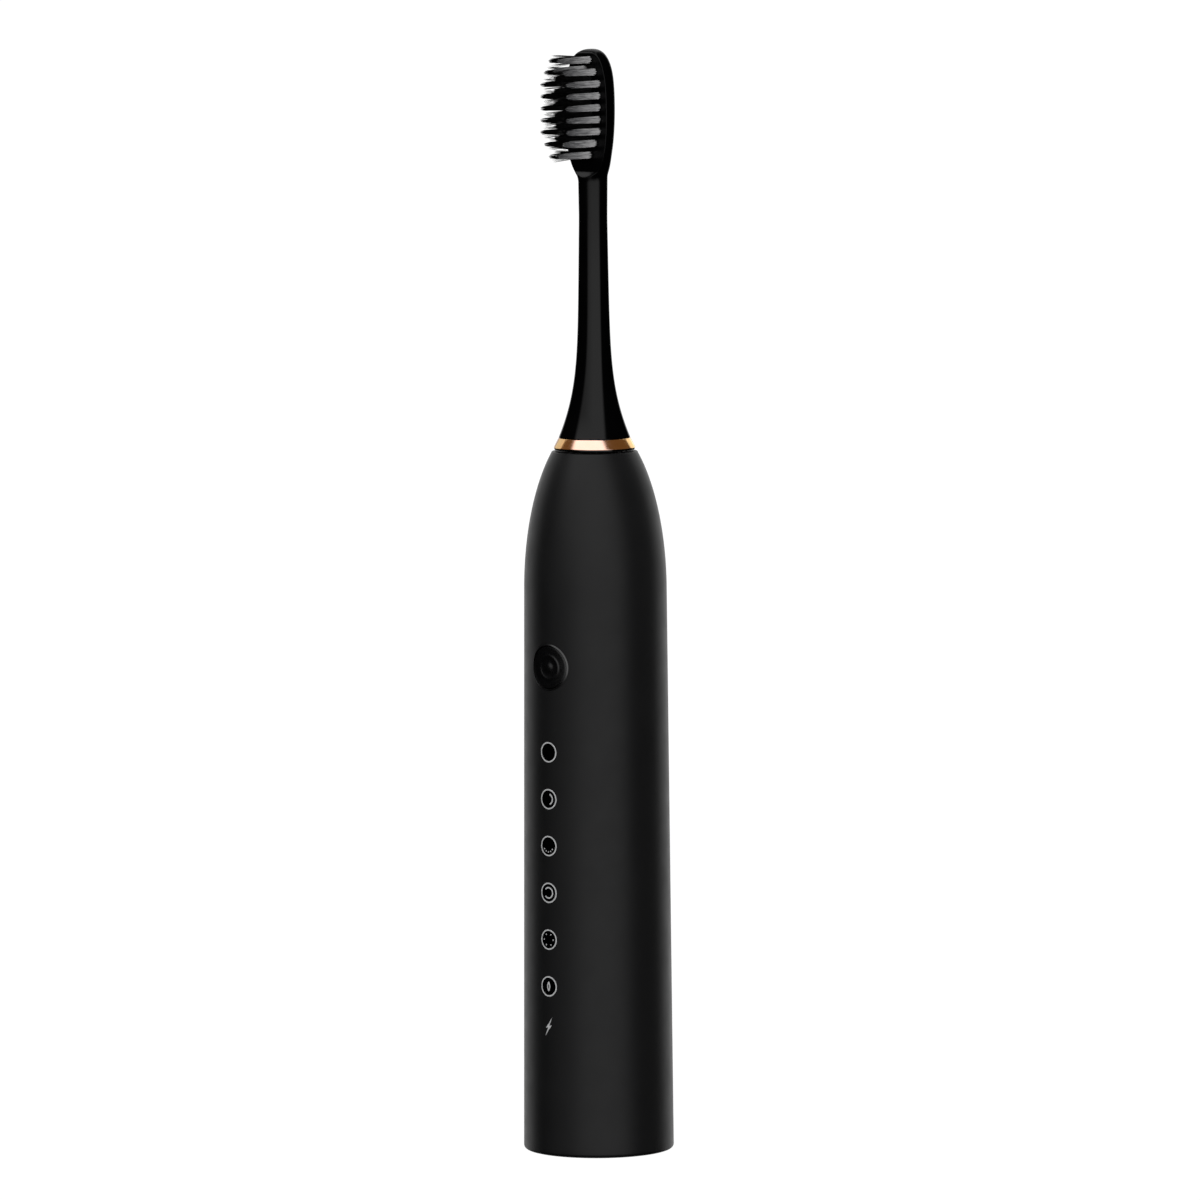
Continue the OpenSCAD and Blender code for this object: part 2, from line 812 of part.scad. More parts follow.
module accent_ring() {
    color("#c79a6b") difference() {
        translate([0, 0, head_z]) cylinder(r1 = ring_r, r2 = ring_top_r, h = ring_h);
        disc(spigot_r + 0.05, head_z - cut, neck_z + cut);
    }
}

module shaft_socket() {
    color("#e6e4dd") difference() {
        union() {
            translate([0, 0, head_z + 0.8]) cylinder(r1 = 4.88, r2 = 3.35, h = cone_top - head_z - 0.9);
            disc(2.65, cone_top - 0.1, socket_piece_top);
        }
        difference() {
            disc(bore_r, head_z, socket_bore_top);
            block([-5, 5], [-5, shaft_flat[1] - shaft_play], [shaft_flat[0] + 1, socket_bore_top + cut]);
        }
        tube(5, 2.2, clip_band[0], clip_band[1]);
    }
}

module retaining_clip() {
    color("#b4b8bc") arc_wall(2.6, 2.25, -60, 240, clip_band[0] + 0.1, clip_band[1] - 0.1);
}

module tuft_anchors() {
    color("#b89a5a") each_tuft()
        block(anchor[0] / 2 * [-1, 1], [tuft_foot, hole_end], anchor[1] / 2 * [-1, 1]);
}

module tufts_tip() {
    color("#26272a") each_tip_tuft()
        bar_y(tuft_d / 2, face_y - tuft_l, tuft_foot);
}

module tufts_outer() {
    color("#26272a") each_outer_tuft()
        bar_y(tuft_d / 2, face_y - tuft_l, tuft_foot);
}

module tufts_inner() {
    color("#1d1e20") each_inner_tuft()
        bar_y(tuft_d / 2, face_y - tuft_l + inner_drop, tuft_foot);
}

// ---- Nodes ----

handle_shell();
mode_icons();
button_gasket();
shaft_seal();
seal_retainer();
inner_frame();
frame_screws();
motor_case();
motor_rear_cap();
motor_front_cap();
stator_core();
stator_windings();
front_bearing();
rear_bearing();
motor_dampers();
motor_screws();
motor_leads();
circuit_board();
board_components();
board_screws();
mode_leds();
led_baffle();
switch_body();
battery_cell();
battery_tabs();
battery_pad();
coil_bobbin();
charging_coil();
shield_plate();
coil_leads();
bottom_cap();
cap_seal();
power_button();
switch_stem();
drive_shaft();
shaft_clip();
rotor_core();
rotor_magnets();
head_shell();
accent_ring();
shaft_socket();
retaining_clip();
tuft_anchors();
tufts_tip();
tufts_outer();
tufts_inner();
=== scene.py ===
import json
import math
import random

import bmesh
import bpy
from mathutils import Matrix, Vector

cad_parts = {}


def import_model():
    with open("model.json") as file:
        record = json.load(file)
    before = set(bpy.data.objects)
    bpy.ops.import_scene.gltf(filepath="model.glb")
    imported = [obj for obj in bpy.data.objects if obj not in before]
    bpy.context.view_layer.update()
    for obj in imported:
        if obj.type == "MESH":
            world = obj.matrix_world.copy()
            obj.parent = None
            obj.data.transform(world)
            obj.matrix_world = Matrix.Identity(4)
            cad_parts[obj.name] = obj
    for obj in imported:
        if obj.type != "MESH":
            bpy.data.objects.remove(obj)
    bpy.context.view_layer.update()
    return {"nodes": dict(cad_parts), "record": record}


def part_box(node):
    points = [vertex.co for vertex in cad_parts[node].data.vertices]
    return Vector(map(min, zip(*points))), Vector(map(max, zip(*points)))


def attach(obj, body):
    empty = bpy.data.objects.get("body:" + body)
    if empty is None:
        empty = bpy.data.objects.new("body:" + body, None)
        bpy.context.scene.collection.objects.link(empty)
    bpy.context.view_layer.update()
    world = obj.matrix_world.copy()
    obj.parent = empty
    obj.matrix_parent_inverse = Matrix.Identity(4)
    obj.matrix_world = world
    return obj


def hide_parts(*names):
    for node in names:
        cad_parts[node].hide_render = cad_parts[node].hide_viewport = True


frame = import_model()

MM = 0.001
TURN = 2 * math.pi
ROUND = 192  # points round a large ring

# ---- Sizes, from the frame ----

SHELL_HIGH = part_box("handle_shell")[1]
BUTTON_LOW, BUTTON_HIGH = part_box("power_button")
RING_LOW, RING_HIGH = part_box("accent_ring")
HEAD_LOW, HEAD_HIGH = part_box("head_shell")
ICONS_LOW, ICONS_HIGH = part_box("mode_icons")
RIM_END_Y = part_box("tufts_tip")[0].y
INNER_END_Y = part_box("tufts_inner")[0].y

HANDLE_H = SHELL_HIGH.z
BASE_R = min(SHELL_HIGH.x, SHELL_HIGH.y)
BASE_EDGE = 0.8 * MM
SHOULDER_R = 14.3 * MM
SHOULDER_Z = 113 * MM
NOSE_R = 8.7 * MM
NOSE_EDGE = 0.3 * MM
NOSE_BORE_R = 5.6 * MM
NOSE_T = 3.4 * MM
WALL = 2.1 * MM
SEAT_R = 13.0 * MM
SEAT_H = 12 * MM
DOME_H = (HANDLE_H - NOSE_EDGE - SHOULDER_Z) / math.sqrt(1 - (NOSE_R / SHOULDER_R) ** 2)

BUTTON_Z = (BUTTON_LOW.z + BUTTON_HIGH.z) / 2
BUTTON_R = 4.2 * MM
BUTTON_FACE_R = -BUTTON_LOW.y - 0.02 * MM
BUTTON_RIDGE_R = 2.35 * MM
BUTTON_RIDGE_W = 0.30 * MM
BUTTON_RIDGE_H = 0.10 * MM
BUTTON_DISH_R = 2.1 * MM
BUTTON_DISH_H = 0.12 * MM
BUTTON_DOME_R = 1.4 * MM
BUTTON_DOME_H = 0.3 * MM
BUTTON_EDGE_W = 0.35 * MM
BUTTON_EDGE_H = 0.05 * MM
BUTTON_POST_Y = -10.92 * MM
BEZEL_INNER_R = BUTTON_R + 0.2 * MM
BEZEL_OUTER_R = BUTTON_R + 0.5 * MM
BEZEL_H = 0.15 * MM
HOLE_R = BEZEL_OUTER_R + 0.01 * MM
HOLE_EDGE = 0.03 * MM
HOLE_REACH = 7.4 * MM  # how far up and down the shell's grid is opened for the hole
HOLE_COLUMNS = 16  # and how many columns each way

ICON_R = ICONS_HIGH.x
ICON_LINE = 0.28 * MM
ICON_COUNT = 6
ICON_PITCH = 9.42 * MM
ICON_TOP_Z = ICONS_HIGH.z - ICON_R
BOLT_H = 1.9 * MM
BOLT_Z = ICONS_LOW.z + BOLT_H
INLAY_PROUD = 0.02 * MM
INLAY_DEPTH = 0.12 * MM

RING_Z = RING_LOW.z
NECK_Z = RING_HIGH.z
TIP_Z = HEAD_HIGH.z
RING_R = RING_HIGH.x
RING_TOP_R = HEAD_HIGH.x
RING_STEP = 0.3 * MM
CAVITY_TOP = HANDLE_H + 19 * MM
NECK_R = 2.85 * MM
NECK_TAPER = 0.0145
NECK_GROWTH = 0.8  # how much of the taper the neck wins back above its waist
WAIST_Z = NECK_Z + 44 * MM
FLARE_L = 22 * MM
FLARE_RATE = 0.105 / MM
FLARE_CURVE = 0.0031 / MM ** 2
SPIGOT_R = 5.9 * MM
PLATE_W = 5.5 * MM
PLATE_POWER = 2.6
PLATE_MID = TIP_Z - 12.4 * MM
PLATE_FOOT_L = 13.4 * MM
PLATE_BACK = 3.6 * MM
PLATE_FRONT = 3.3 * MM
PLATE_MID_Y = -0.9 * MM
PLATE_EDGE = 0.12 * MM
SHOULDER_POWER = 7
FACE_Y = -2.0 * MM
SCOOP_FOOT_Z = TIP_Z - 25.6 * MM
SCOOP_TOP_Z = TIP_Z - 24.4 * MM
CUT_Z = SCOOP_FOOT_Z - 2 * MM
BACK_FOOT_Z = WAIST_Z + 10 * MM
BACK_RUN = 13 * MM
MIDDLE_RUN = 5 * MM
FRONT_RUN = 8 * MM
SQUARE_FOOT_Z = SCOOP_FOOT_Z - 1 * MM
SQUARE_RUN = 3 * MM
TIP_L = 7 * MM
TIP_BACK = (6.4 * MM, 2.4)  # over what height the tip closes, and how squarely
TIP_MIDDLE = (5 * MM, 2.6)
TIP_FRONT = (4.6 * MM, 2.2)

# ---- Meshes ----


def piece(name, verts, faces, body, slot, replaced=(), sharp=38, look=None):
    """A closed mesh piece that rides on a body, wears a slot's material and stands for CAD nodes."""
    mesh = bpy.data.meshes.new(name)
    mesh.from_pydata([tuple(v) for v in verts], [], faces)
    tidy = bmesh.new()
    tidy.from_mesh(mesh)
    loose = [v for v in tidy.verts if not v.link_faces]
    bmesh.ops.delete(tidy, geom=loose, context="VERTS")
    bmesh.ops.recalc_face_normals(tidy, faces=tidy.faces)
    tidy.to_mesh(mesh)
    tidy.free()
    mesh.shade_smooth()
    mesh.set_sharp_from_angle(angle=math.radians(sharp))
    mesh.materials.append(material_of(look or slot))
    obj = bpy.data.objects.new(name, mesh)
    bpy.context.scene.collection.objects.link(obj)
    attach(obj, body)
    if replaced:
        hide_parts(*replaced)
    return obj


def join_rings(rings, start=None, end=None, loop=False):
    """Vertices and faces over a chain of rings, closed by a pole at each end or on itself."""
    n = len(rings[0])
    verts = [p for ring in rings for p in ring]
    pairs = [(k, k + 1) for k in range(len(rings) - 1)]
    if loop:
        pairs.append((len(rings) - 1, 0))
    faces = []
    for a, b in pairs:
        for i in range(n):
            j = (i + 1) % n
            faces.append((a * n + i, a * n + j, b * n + j, b * n + i))
    for pole, k in ((start, 0), (end, len(rings) - 1)):
        if pole is not None:
            verts.append(Vector(pole))
            faces += [(len(verts) - 1, k * n + i, k * n + (i + 1) % n) for i in range(n)]
    return verts, faces


def merge(parts):
    """One list of vertices and one of faces from several pairs of them."""
    verts, faces = [], []
    for part_verts, part_faces in parts:
        base = len(verts)
        verts += part_verts
        faces += [tuple(base + i for i in face) for face in part_faces]
    return verts, faces


def z_ring(r, z, count=ROUND):
    """Points on a circle about the Z axis, from the front on."""
    angles = [TURN * i / count for i in range(count)]
    return [Vector((r * math.sin(a), -r * math.cos(a), z)) for a in angles]


def rounded(corners, steps=5):
    """A closed outline through corners of (a, b, reach), each rounded over its reach."""
    points = []
    for k, (a, b, reach) in enumerate(corners):
        here = Vector((a, b))
        if not reach:
            points.append(here)
            continue
        before = Vector(corners[k - 1][:2]) - here
        after = Vector(corners[(k + 1) % len(corners)][:2]) - here
        first = here + before.normalized() * min(reach, before.length * 0.49)
        last = here + after.normalized() * min(reach, after.length * 0.49)
        for s in range(steps + 1):
            t = s / steps
            points.append(first * (1 - t) ** 2 + here * 2 * t * (1 - t) + last * t * t)
    return points


def blend(a, b, t):
    """a at t 0, b at t 1."""
    return a + (b - a) * t


def ease(t):
    """Smooth step from 0 to 1."""
    t = min(max(t, 0.0), 1.0)
    return t * t * (3 - 2 * t)


def soft_max(a, b, width):
    """The larger of a and b, rounded over a width where they cross."""
    d = (a - b) / width
    return b + width * math.log1p(math.exp(d)) if d < 30 else a


# ---- Handle ----


def handle_r(z):
    """Radius of the handle's outside at height z."""
    if z <= SHOULDER_Z:
        return blend(BASE_R, SHOULDER_R, max(z - BASE_EDGE, 0) / (SHOULDER_Z - BASE_EDGE))
    return SHOULDER_R * math.sqrt(1 - ((z - SHOULDER_Z) / DOME_H) ** 2)


def on_handle(x, z, proud):
    """The point of the handle's front surface at x and z, moved out by proud."""
    r = handle_r(z) + proud
    return Vector((x, -math.sqrt(r * r - x * x), z))


def straight_levels():
    """Heights of the rings on the handle's straight part."""
    count = 120
    return [blend(BASE_EDGE, SHOULDER_Z, k / count) for k in range(1, count + 1)]


def dome_profile(top_z, inset, steps=26):
    """Outline up the dome, as (radius, height)."""
    end = math.asin((top_z - SHOULDER_Z) / DOME_H)
    angles = [end * k / steps for k in range(1, steps + 1)]
    return [(SHOULDER_R * math.cos(a) - inset, SHOULDER_Z + DOME_H * math.sin(a)) for a in angles]


def inner_levels(levels):
    """Heights of the rings inside the handle, from the top down."""
    return [z for z in reversed(levels) if z > SEAT_H]


def shell_profile(levels):
    """Closed outline of the shell's wall, and the places of the outer and inner levels in it."""
    foot = [(BASE_R - BASE_EDGE * (1 - math.sin(a)), BASE_EDGE * (1 - math.cos(a)))
            for a in [math.radians(9 * k) for k in range(11)]]
    outer = foot + [(handle_r(z), z) for z in levels] + dome_profile(HANDLE_H - NOSE_EDGE, 0)
    lip = [(NOSE_R - 0.1 * MM, HANDLE_H - 0.09 * MM), (NOSE_R - NOSE_EDGE, HANDLE_H)]
    nose = lip + [(NOSE_BORE_R + 0.25 * MM, HANDLE_H), (NOSE_BORE_R, HANDLE_H - 0.25 * MM),
                  (NOSE_BORE_R, HANDLE_H - NOSE_T)]
    dome = list(reversed(dome_profile(HANDLE_H - NOSE_T, WALL)))
    inside = dome + [(handle_r(z) - WALL, z) for z in inner_levels(levels)]
    seat = [(SEAT_R, SEAT_H), (SEAT_R, 0.3 * MM), (SEAT_R + 0.3 * MM, 0)]
    return outer + nose + inside + seat, len(foot), len(outer) + len(nose) + len(dome)


def hole_loop(low, high, index):
    """Vertices round the rectangle of the grid that the hole opens, from row low to row high."""
    half = HOLE_COLUMNS
    step = 1 if high > low else -1
    right = [index(j, half) for j in range(low + step, high, step)]
    left = [index(j, -half) for j in range(high - step, low, -step)]
    bottom = [index(low, i) for i in range(-half, half + 1)]
    top = [index(high, i) for i in range(half, -half - 1, -1)]
    return bottom + right + top + left


def hole_ring(loop, verts, radius, spread, depth, sink):
    """Points between the button's hole and a loop on the grid: spread 0 is the hole's edge."""
    points = []
    for k in loop:
        x, z = verts[k].x, verts[k].z - BUTTON_Z
        reach = math.hypot(x, z)
        scale = blend(radius / reach, 1, spread)
        on = on_handle(x * scale, BUTTON_Z + z * scale, -depth)
        points.append(on + Vector((0, sink, 0)))
    return points


def hole_wall(verts, outside, inside):
    """Adds the hole's rings from a loop on the outside to one on the inside; gives their faces."""
    rings = [hole_ring(outside, verts, HOLE_R + HOLE_EDGE, 1 - k / 8, 0, 0) for k in range(1, 9)]
    rings += [hole_ring(outside, verts, HOLE_R, 0, 0, HOLE_EDGE)]
    rings += [hole_ring(outside, verts, HOLE_R, 0, WALL, 0)]
    rings += [hole_ring(inside, verts, HOLE_R, k / 4, WALL, 0) for k in range(1, 4)]
    chain = [outside]
    for ring in rings:
        chain.append(list(range(len(verts), len(verts) + len(ring))))
        verts += ring
    chain.append(inside)
    faces = []
    for a, b in zip(chain, chain[1:]):
        count = len(a)
        faces += [(a[i], a[(i + 1) % count], b[(i + 1) % count], b[i]) for i in range(count)]
    return faces


def rows_by_button(levels, first):
    """First and last grid row near the button, where levels start at row first."""
    rows = [k for k, z in enumerate(levels) if abs(z - BUTTON_Z) < HOLE_REACH]
    return first + rows[0], first + rows[-1]


def handle_shell():
    """The shell: a revolved wall with a true hole for the button, its edge rounded."""
    levels = straight_levels()
    profile, outer_at, inner_at = shell_profile(levels)
    n = ROUND
    verts = [p for r, z in profile for p in z_ring(r, z, n)]
    outer_low, outer_high = rows_by_button(levels, outer_at)
    inner_high, inner_low = rows_by_button(inner_levels(levels), inner_at)
    spans = [(outer_low, outer_high), (inner_high, inner_low)]

    def index(j, i):
        return j * n + i % n

    def open_at(j, i):
        column = i if i < n / 2 else i - n
        return -HOLE_COLUMNS <= column < HOLE_COLUMNS and any(a <= j < b for a, b in spans)

    faces = []
    for j in range(len(profile)):
        up = (j + 1) % len(profile)
        faces += [(index(j, i), index(j, i + 1), index(up, i + 1), index(up, i)) for i in range(n)
                  if not open_at(j, i)]

    outside = hole_loop(outer_low, outer_high, index)
    inside = hole_loop(inner_low, inner_high, index)
    faces += hole_wall(verts, outside, inside)
    piece("handle_skin", verts, faces, "handle", "soft_black", ["handle_shell"])


def button_bezel():
    """Low collar round the button's hole, which slopes down to the handle."""
    foot = -WALL + 0.2 * MM
    corners = [(BEZEL_OUTER_R, foot, 0), (BEZEL_OUTER_R, 0.01 * MM, 0.04 * MM),
               (BEZEL_INNER_R, BEZEL_H, 0.06 * MM), (BEZEL_INNER_R, foot, 0)]
    rings = []
    for p in rounded(corners):
        rings.append([on_handle(x, BUTTON_Z + z, p.y) for x, z in circle_points(p.x, steps=128)[:-1]])
    verts, faces = join_rings(rings, loop=True)
    piece("button_surround", verts, faces, "handle", "soft_black", look="bezel_black")


# ---- Mode lights ----


def circle_points(r, start=0.0, end=TURN, steps=72, centre=(0, 0)):
    """Points on an arc, as (x, z)."""
    return [(centre[0] + r * math.cos(blend(start, end, k / steps)),
             centre[1] + r * math.sin(blend(start, end, k / steps))) for k in range(steps + 1)]


def line_solid(side_a, side_b, z, closed):
    """A flat line between two lists of (x, z), laid into the handle's surface at height z."""
    if closed:
        side_a, side_b = side_a[:-1], side_b[:-1]
    rings = []
    for (ax, az), (bx, bz) in zip(side_a, side_b):
        rings.append([on_handle(ax, z + az, -INLAY_DEPTH), on_handle(ax, z + az, INLAY_PROUD),
                      on_handle(bx, z + bz, INLAY_PROUD), on_handle(bx, z + bz, -INLAY_DEPTH)])
    verts, faces = join_rings(rings, loop=closed)
    if not closed:
        last = 4 * (len(rings) - 1)
        faces += [(0, 1, 2, 3), (last, last + 1, last + 2, last + 3)]
    return verts, faces


def arc_line(r, z, start, end, steps=36, centre=(0, 0), closed=False):
    """Part of a ring of the icons' line width, in degrees."""
    start, end = math.radians(start), math.radians(end)
    return line_solid(circle_points(r, start, end, steps, centre),
                      circle_points(r - ICON_LINE, start, end, steps, centre), z, closed)


def disc_solid(r, z, centre=(0, 0), proud=INLAY_PROUD, steps=32, rings=4):
    """A disc laid into the handle's surface."""
    levels = [(r, -INLAY_DEPTH)] + [(r * (1 - k / rings), proud) for k in range(rings)]
    loops = []
    for radius, out in levels:
        edge = circle_points(radius, steps=steps, centre=centre)[:-1]
        loops.append([on_handle(x, z + dz, out) for x, dz in edge])
    top = on_handle(centre[0], z + centre[1], proud)
    bottom = on_handle(centre[0], z + centre[1], -INLAY_DEPTH)
    return join_rings(loops, start=bottom, end=top)


def dot_ring(r, z, count, start, end):
    """Dots spaced along an arc, in degrees."""
    angles = [math.radians(blend(start, end, k / (count - 1))) for k in range(count)]
    centres = [(r * math.cos(a), r * math.sin(a)) for a in angles]
    return [disc_solid(ICON_LINE / 2, z, centre, steps=16, rings=2) for centre in centres]


def mode_mark(k, z):
    """The mark inside mode ring k: a different plain mark for each mode."""
    r = ICON_R * 0.58
    if k == 1:
        return [arc_line(r, z, -70, 70)]
    if k == 2:
        return dot_ring(r, z, 5, -150, -30)
    if k == 3:
        return [arc_line(r, z, -140, 140)]
    if k == 4:
        return dot_ring(r, z, 6, 0, 300)
    if k == 5:
        leaf = r * 0.75
        return [arc_line(r * 1.1, z, -50, 50, centre=(-leaf, 0)),
                arc_line(r * 1.1, z, 130, 230, centre=(leaf, 0))]
    return []


def bolt(z):
    """A lightning bolt of two slanted strokes."""
    points = [(0.9, 1.9), (-0.8, -0.3), (0.0, -0.16), (-0.9, -1.9), (0.8, 0.3), (0.0, 0.16)]
    top = [on_handle(x * MM, z + dz * MM, INLAY_PROUD) for x, dz in points]
    foot = [on_handle(x * MM, z + dz * MM, -INLAY_DEPTH) for x, dz in points]
    sides = [(i, (i + 1) % 6, 6 + (i + 1) % 6, 6 + i) for i in range(6)]
    halves = [(0, 1, 2), (0, 2, 5), (2, 3, 5), (3, 4, 5)]
    back = [tuple(6 + i for i in reversed(face)) for face in halves]
    return top + foot, halves + back + sides


def mode_lights():
    """The six mode rings with their marks, the bolt, and the dark lens inside each ring."""
    heights = [ICON_TOP_Z - ICON_PITCH * k for k in range(ICON_COUNT)]
    lines = [arc_line(ICON_R, z, 0, 360, 72, closed=True) for z in heights]
    for k, z in enumerate(heights):
        lines += mode_mark(k, z)
    lines.append(bolt(BOLT_Z))
    verts, faces = merge(lines)
    piece("mode_light_lines", verts, faces, "handle", "light_window", ["mode_icons"])
    lenses = [disc_solid(ICON_R - ICON_LINE, z, proud=0.006 * MM, steps=64, rings=6) for z in heights]
    verts, faces = merge(lenses)
    piece("mode_light_lenses", verts, faces, "handle", "light_window", look="lens_black")


# ---- Power button ----


def button_relief(r):
    """How far the button's face stands out at radius r: a ridge, a dish, a dome and a soft edge."""
    ridge = BUTTON_RIDGE_H * math.exp(-((r - BUTTON_RIDGE_R) / BUTTON_RIDGE_W) ** 2)
    dish = -BUTTON_DISH_H * (1 - min(r / BUTTON_DISH_R, 1) ** 4)
    dome = BUTTON_DOME_H * max(1 - (r / BUTTON_DOME_R) ** 2, 0) ** 2
    edge = -BUTTON_EDGE_H * max((r - BUTTON_R + BUTTON_EDGE_W) / BUTTON_EDGE_W, 0) ** 2
    return ridge + dish + dome + edge


def button_profile(steps=56):
    """Outline of the button from the middle of its face, as (radius, y, on the curved face)."""
    radii = [BUTTON_R * k / steps for k in range(1, steps + 1)]
    face = [(r, -button_relief(r), True) for r in radii]
    barrel_r = BUTTON_R - 0.1 * MM
    hollow_r = barrel_r - 0.75 * MM
    post_r = 0.9 * MM
    flange_r = BUTTON_HIGH.x
    flange_y = -11.1 * MM
    under_y = -12.2 * MM
    back = [(BUTTON_R, under_y - 0.05 * MM), (barrel_r, under_y), (barrel_r, flange_y),
            (flange_r, flange_y), (flange_r, BUTTON_HIGH.y), (hollow_r, BUTTON_HIGH.y),
            (hollow_r, under_y), (post_r, under_y), (post_r, BUTTON_POST_Y)]
    return face + [(r, y, False) for r, y in back]


def power_button():
    """The keycap, with a raised ring round a dished middle, and the flange and the post behind."""
    count = 96
    rings = []
    for r, y, curved in button_profile():
        ring = []
        for k in range(count):
            a = TURN * k / count
            x, z = r * math.cos(a), r * math.sin(a)
            front = -math.sqrt(BUTTON_FACE_R ** 2 - x * x) if curved else 0
            ring.append(Vector((x, front + y, BUTTON_Z + z)))
        rings.append(ring)
    middle = (0, -BUTTON_FACE_R - BUTTON_DOME_H + BUTTON_DISH_H, BUTTON_Z)
    verts, faces = join_rings(rings, start=middle, end=(0, BUTTON_POST_Y, BUTTON_Z))
    piece("button_cap", verts, faces, "power_button", "button_black", ["power_button"])


# ---- Brush head ----


def neck_at(z):
    """Radius of the round neck at height z: a straight taper with a flare at its foot."""
    x = z - NECK_Z
    taper = NECK_TAPER * max(WAIST_Z - z, (z - WAIST_Z) * NECK_GROWTH)
    flare = RING_TOP_R - NECK_R - NECK_TAPER * (WAIST_Z - NECK_Z)
    return NECK_R + taper + flare * math.exp(-FLARE_RATE * x - FLARE_CURVE * x * x)


def plate_half(z):
    """Half width of the head at height z, with the shoulders blended into the neck."""
    length = TIP_Z - PLATE_MID if z > PLATE_MID else PLATE_FOOT_L
    t = min(abs(z - PLATE_MID) / length, 1)
    plate = PLATE_W * (1 - t ** PLATE_POWER) ** (1 / PLATE_POWER)
    if z > PLATE_MID:
        return plate
    neck = neck_at(min(z, SCOOP_TOP_Z))
    return (plate ** SHOULDER_POWER + neck ** SHOULDER_POWER) ** (1 / SHOULDER_POWER)


def tip_close(z, reach, power):
    """1 on the plate, falling to 0 at the tip over a reach."""
    t = min(max((z - TIP_Z + reach) / reach, 0), 1)
    return (1 - t ** power) ** (1 / power)


def head_depths(z):
    """How far the head reaches to the front and the back at height z, and the Y of its widest part."""
    neck = neck_at(min(z, SCOOP_TOP_Z))
    past_scoop = z - SCOOP_FOOT_Z
    back = blend(neck, PLATE_BACK, ease((z - BACK_FOOT_Z) / BACK_RUN)) * tip_close(z, *TIP_BACK)
    middle = PLATE_MID_Y * ease(past_scoop / MIDDLE_RUN) * tip_close(z, *TIP_MIDDLE)
    front = blend(neck, PLATE_FRONT, ease(past_scoop / FRONT_RUN)) * tip_close(z, *TIP_FRONT)
    return front, back, middle


def scoop_face(z):
    """Y of the flat that is cut into the front: a slope at the scoop, then the plate's face."""
    slope = (z - SCOOP_FOOT_Z) / (SCOOP_TOP_Z - SCOOP_FOOT_Z)
    face = blend(-neck_at(SCOOP_FOOT_Z), FACE_Y, slope)
    return -soft_max(-face, -FACE_Y, PLATE_EDGE)


def head_section(z, count=ROUND):
    """Outline of the head at height z: round on the neck, squarer and flat in front on the plate."""
    front, back, middle = head_depths(z)
    square = blend(1, 0.5, ease((z - SQUARE_FOOT_Z) / SQUARE_RUN))
    wide = plate_half(z)
    ring = []
    for i in range(count):
        a = TURN * i / count
        x, y = math.sin(a), math.cos(a)
        if y > 0:
            x, y = math.copysign(abs(x) ** square, x), (front + middle) * y ** square
        else:
            y = (back - middle) * y
        y = middle - y
        if z > CUT_Z:
            y = soft_max(y, scoop_face(z), PLATE_EDGE)
        ring.append(Vector((wide * x, y, z)))
    return ring


def head_heights():
    """Heights of the head's sections: closer where the shape turns quickly."""
    scoop_end_z = SCOOP_TOP_Z + 3 * MM
    flare = [NECK_Z + FLARE_L * (k / 30) ** 1.5 for k in range(31)]
    neck = [blend(NECK_Z + FLARE_L, CUT_Z, k / 20) for k in range(1, 21)]
    scoop = [blend(CUT_Z, scoop_end_z, k / 44) for k in range(1, 45)]
    plate = [blend(scoop_end_z, TIP_Z - TIP_L, k / 16) for k in range(1, 17)]
    tip = [TIP_Z - TIP_L * (1 - math.sin(TURN / 4 * k / 34)) for k in range(1, 34)]
    return flare + neck + scoop + plate + tip + [TIP_Z - 0.003 * MM]


def head_foot_profile():
    """Outline from the top of the head's cavity down, and up outside the spigot to the neck's foot."""
    bore_r = 2.7 * MM
    cone_r = 3.4 * MM
    mouth_r = 4.97 * MM
    cone_top = NECK_Z + 7.5 * MM
    cavity = [(0.6 * MM, CAVITY_TOP), (bore_r, CAVITY_TOP), (bore_r, cone_top), (cone_r, cone_top),
              (mouth_r, HEAD_LOW.z)]
    spigot = [(SPIGOT_R - 0.1 * MM, HEAD_LOW.z), (SPIGOT_R, HEAD_LOW.z + 0.1 * MM), (SPIGOT_R, RING_Z)]
    step_r = RING_R - 0.2 * MM
    step_top = RING_Z + RING_STEP - 0.02 * MM
    step = [(step_r - 0.06 * MM, RING_Z), (step_r, RING_Z + 0.06 * MM), (step_r, step_top),
            (SPIGOT_R, step_top)]
    rim = [(SPIGOT_R, NECK_Z), (RING_TOP_R - 0.22 * MM, NECK_Z + 0.02 * MM),
           (RING_TOP_R - 0.08 * MM, NECK_Z + 0.06 * MM)]
    return cavity + spigot + step + rim


def head_shell():
    """Neck and bristle plate in one, with the spigot, the step under the ring and the cavity."""
    rings = [z_ring(r, z) for r, z in head_foot_profile()]
    heights = head_heights()
    heights[0] += 0.2 * MM
    rings += [head_section(z) for z in heights]
    verts, faces = join_rings(rings, start=(0, 0, CAVITY_TOP), end=(0, -0.3 * MM, TIP_Z))
    piece("head_body", verts, faces, "brush_head", "gloss_black", ["head_shell"])


def accent_ring():
    """The polished ring at the head's foot, with rounded edges, down to the black step under it."""
    r_in = SPIGOT_R + 0.05 * MM
    foot_r = RING_R - 0.06 * MM
    foot_z = RING_Z + RING_STEP
    corners = [(r_in, foot_z, 0.1 * MM), (foot_r, foot_z, 0.2 * MM), (RING_TOP_R, NECK_Z, 0.1 * MM),
               (r_in, NECK_Z, 0.1 * MM)]
    rings = [z_ring(p.x, p.y) for p in rounded(corners)]
    verts, faces = join_rings(rings, loop=True)
    piece("ring_band", verts, faces, "brush_head", "rose_gold", ["accent_ring"])


# ---- Bristles ----

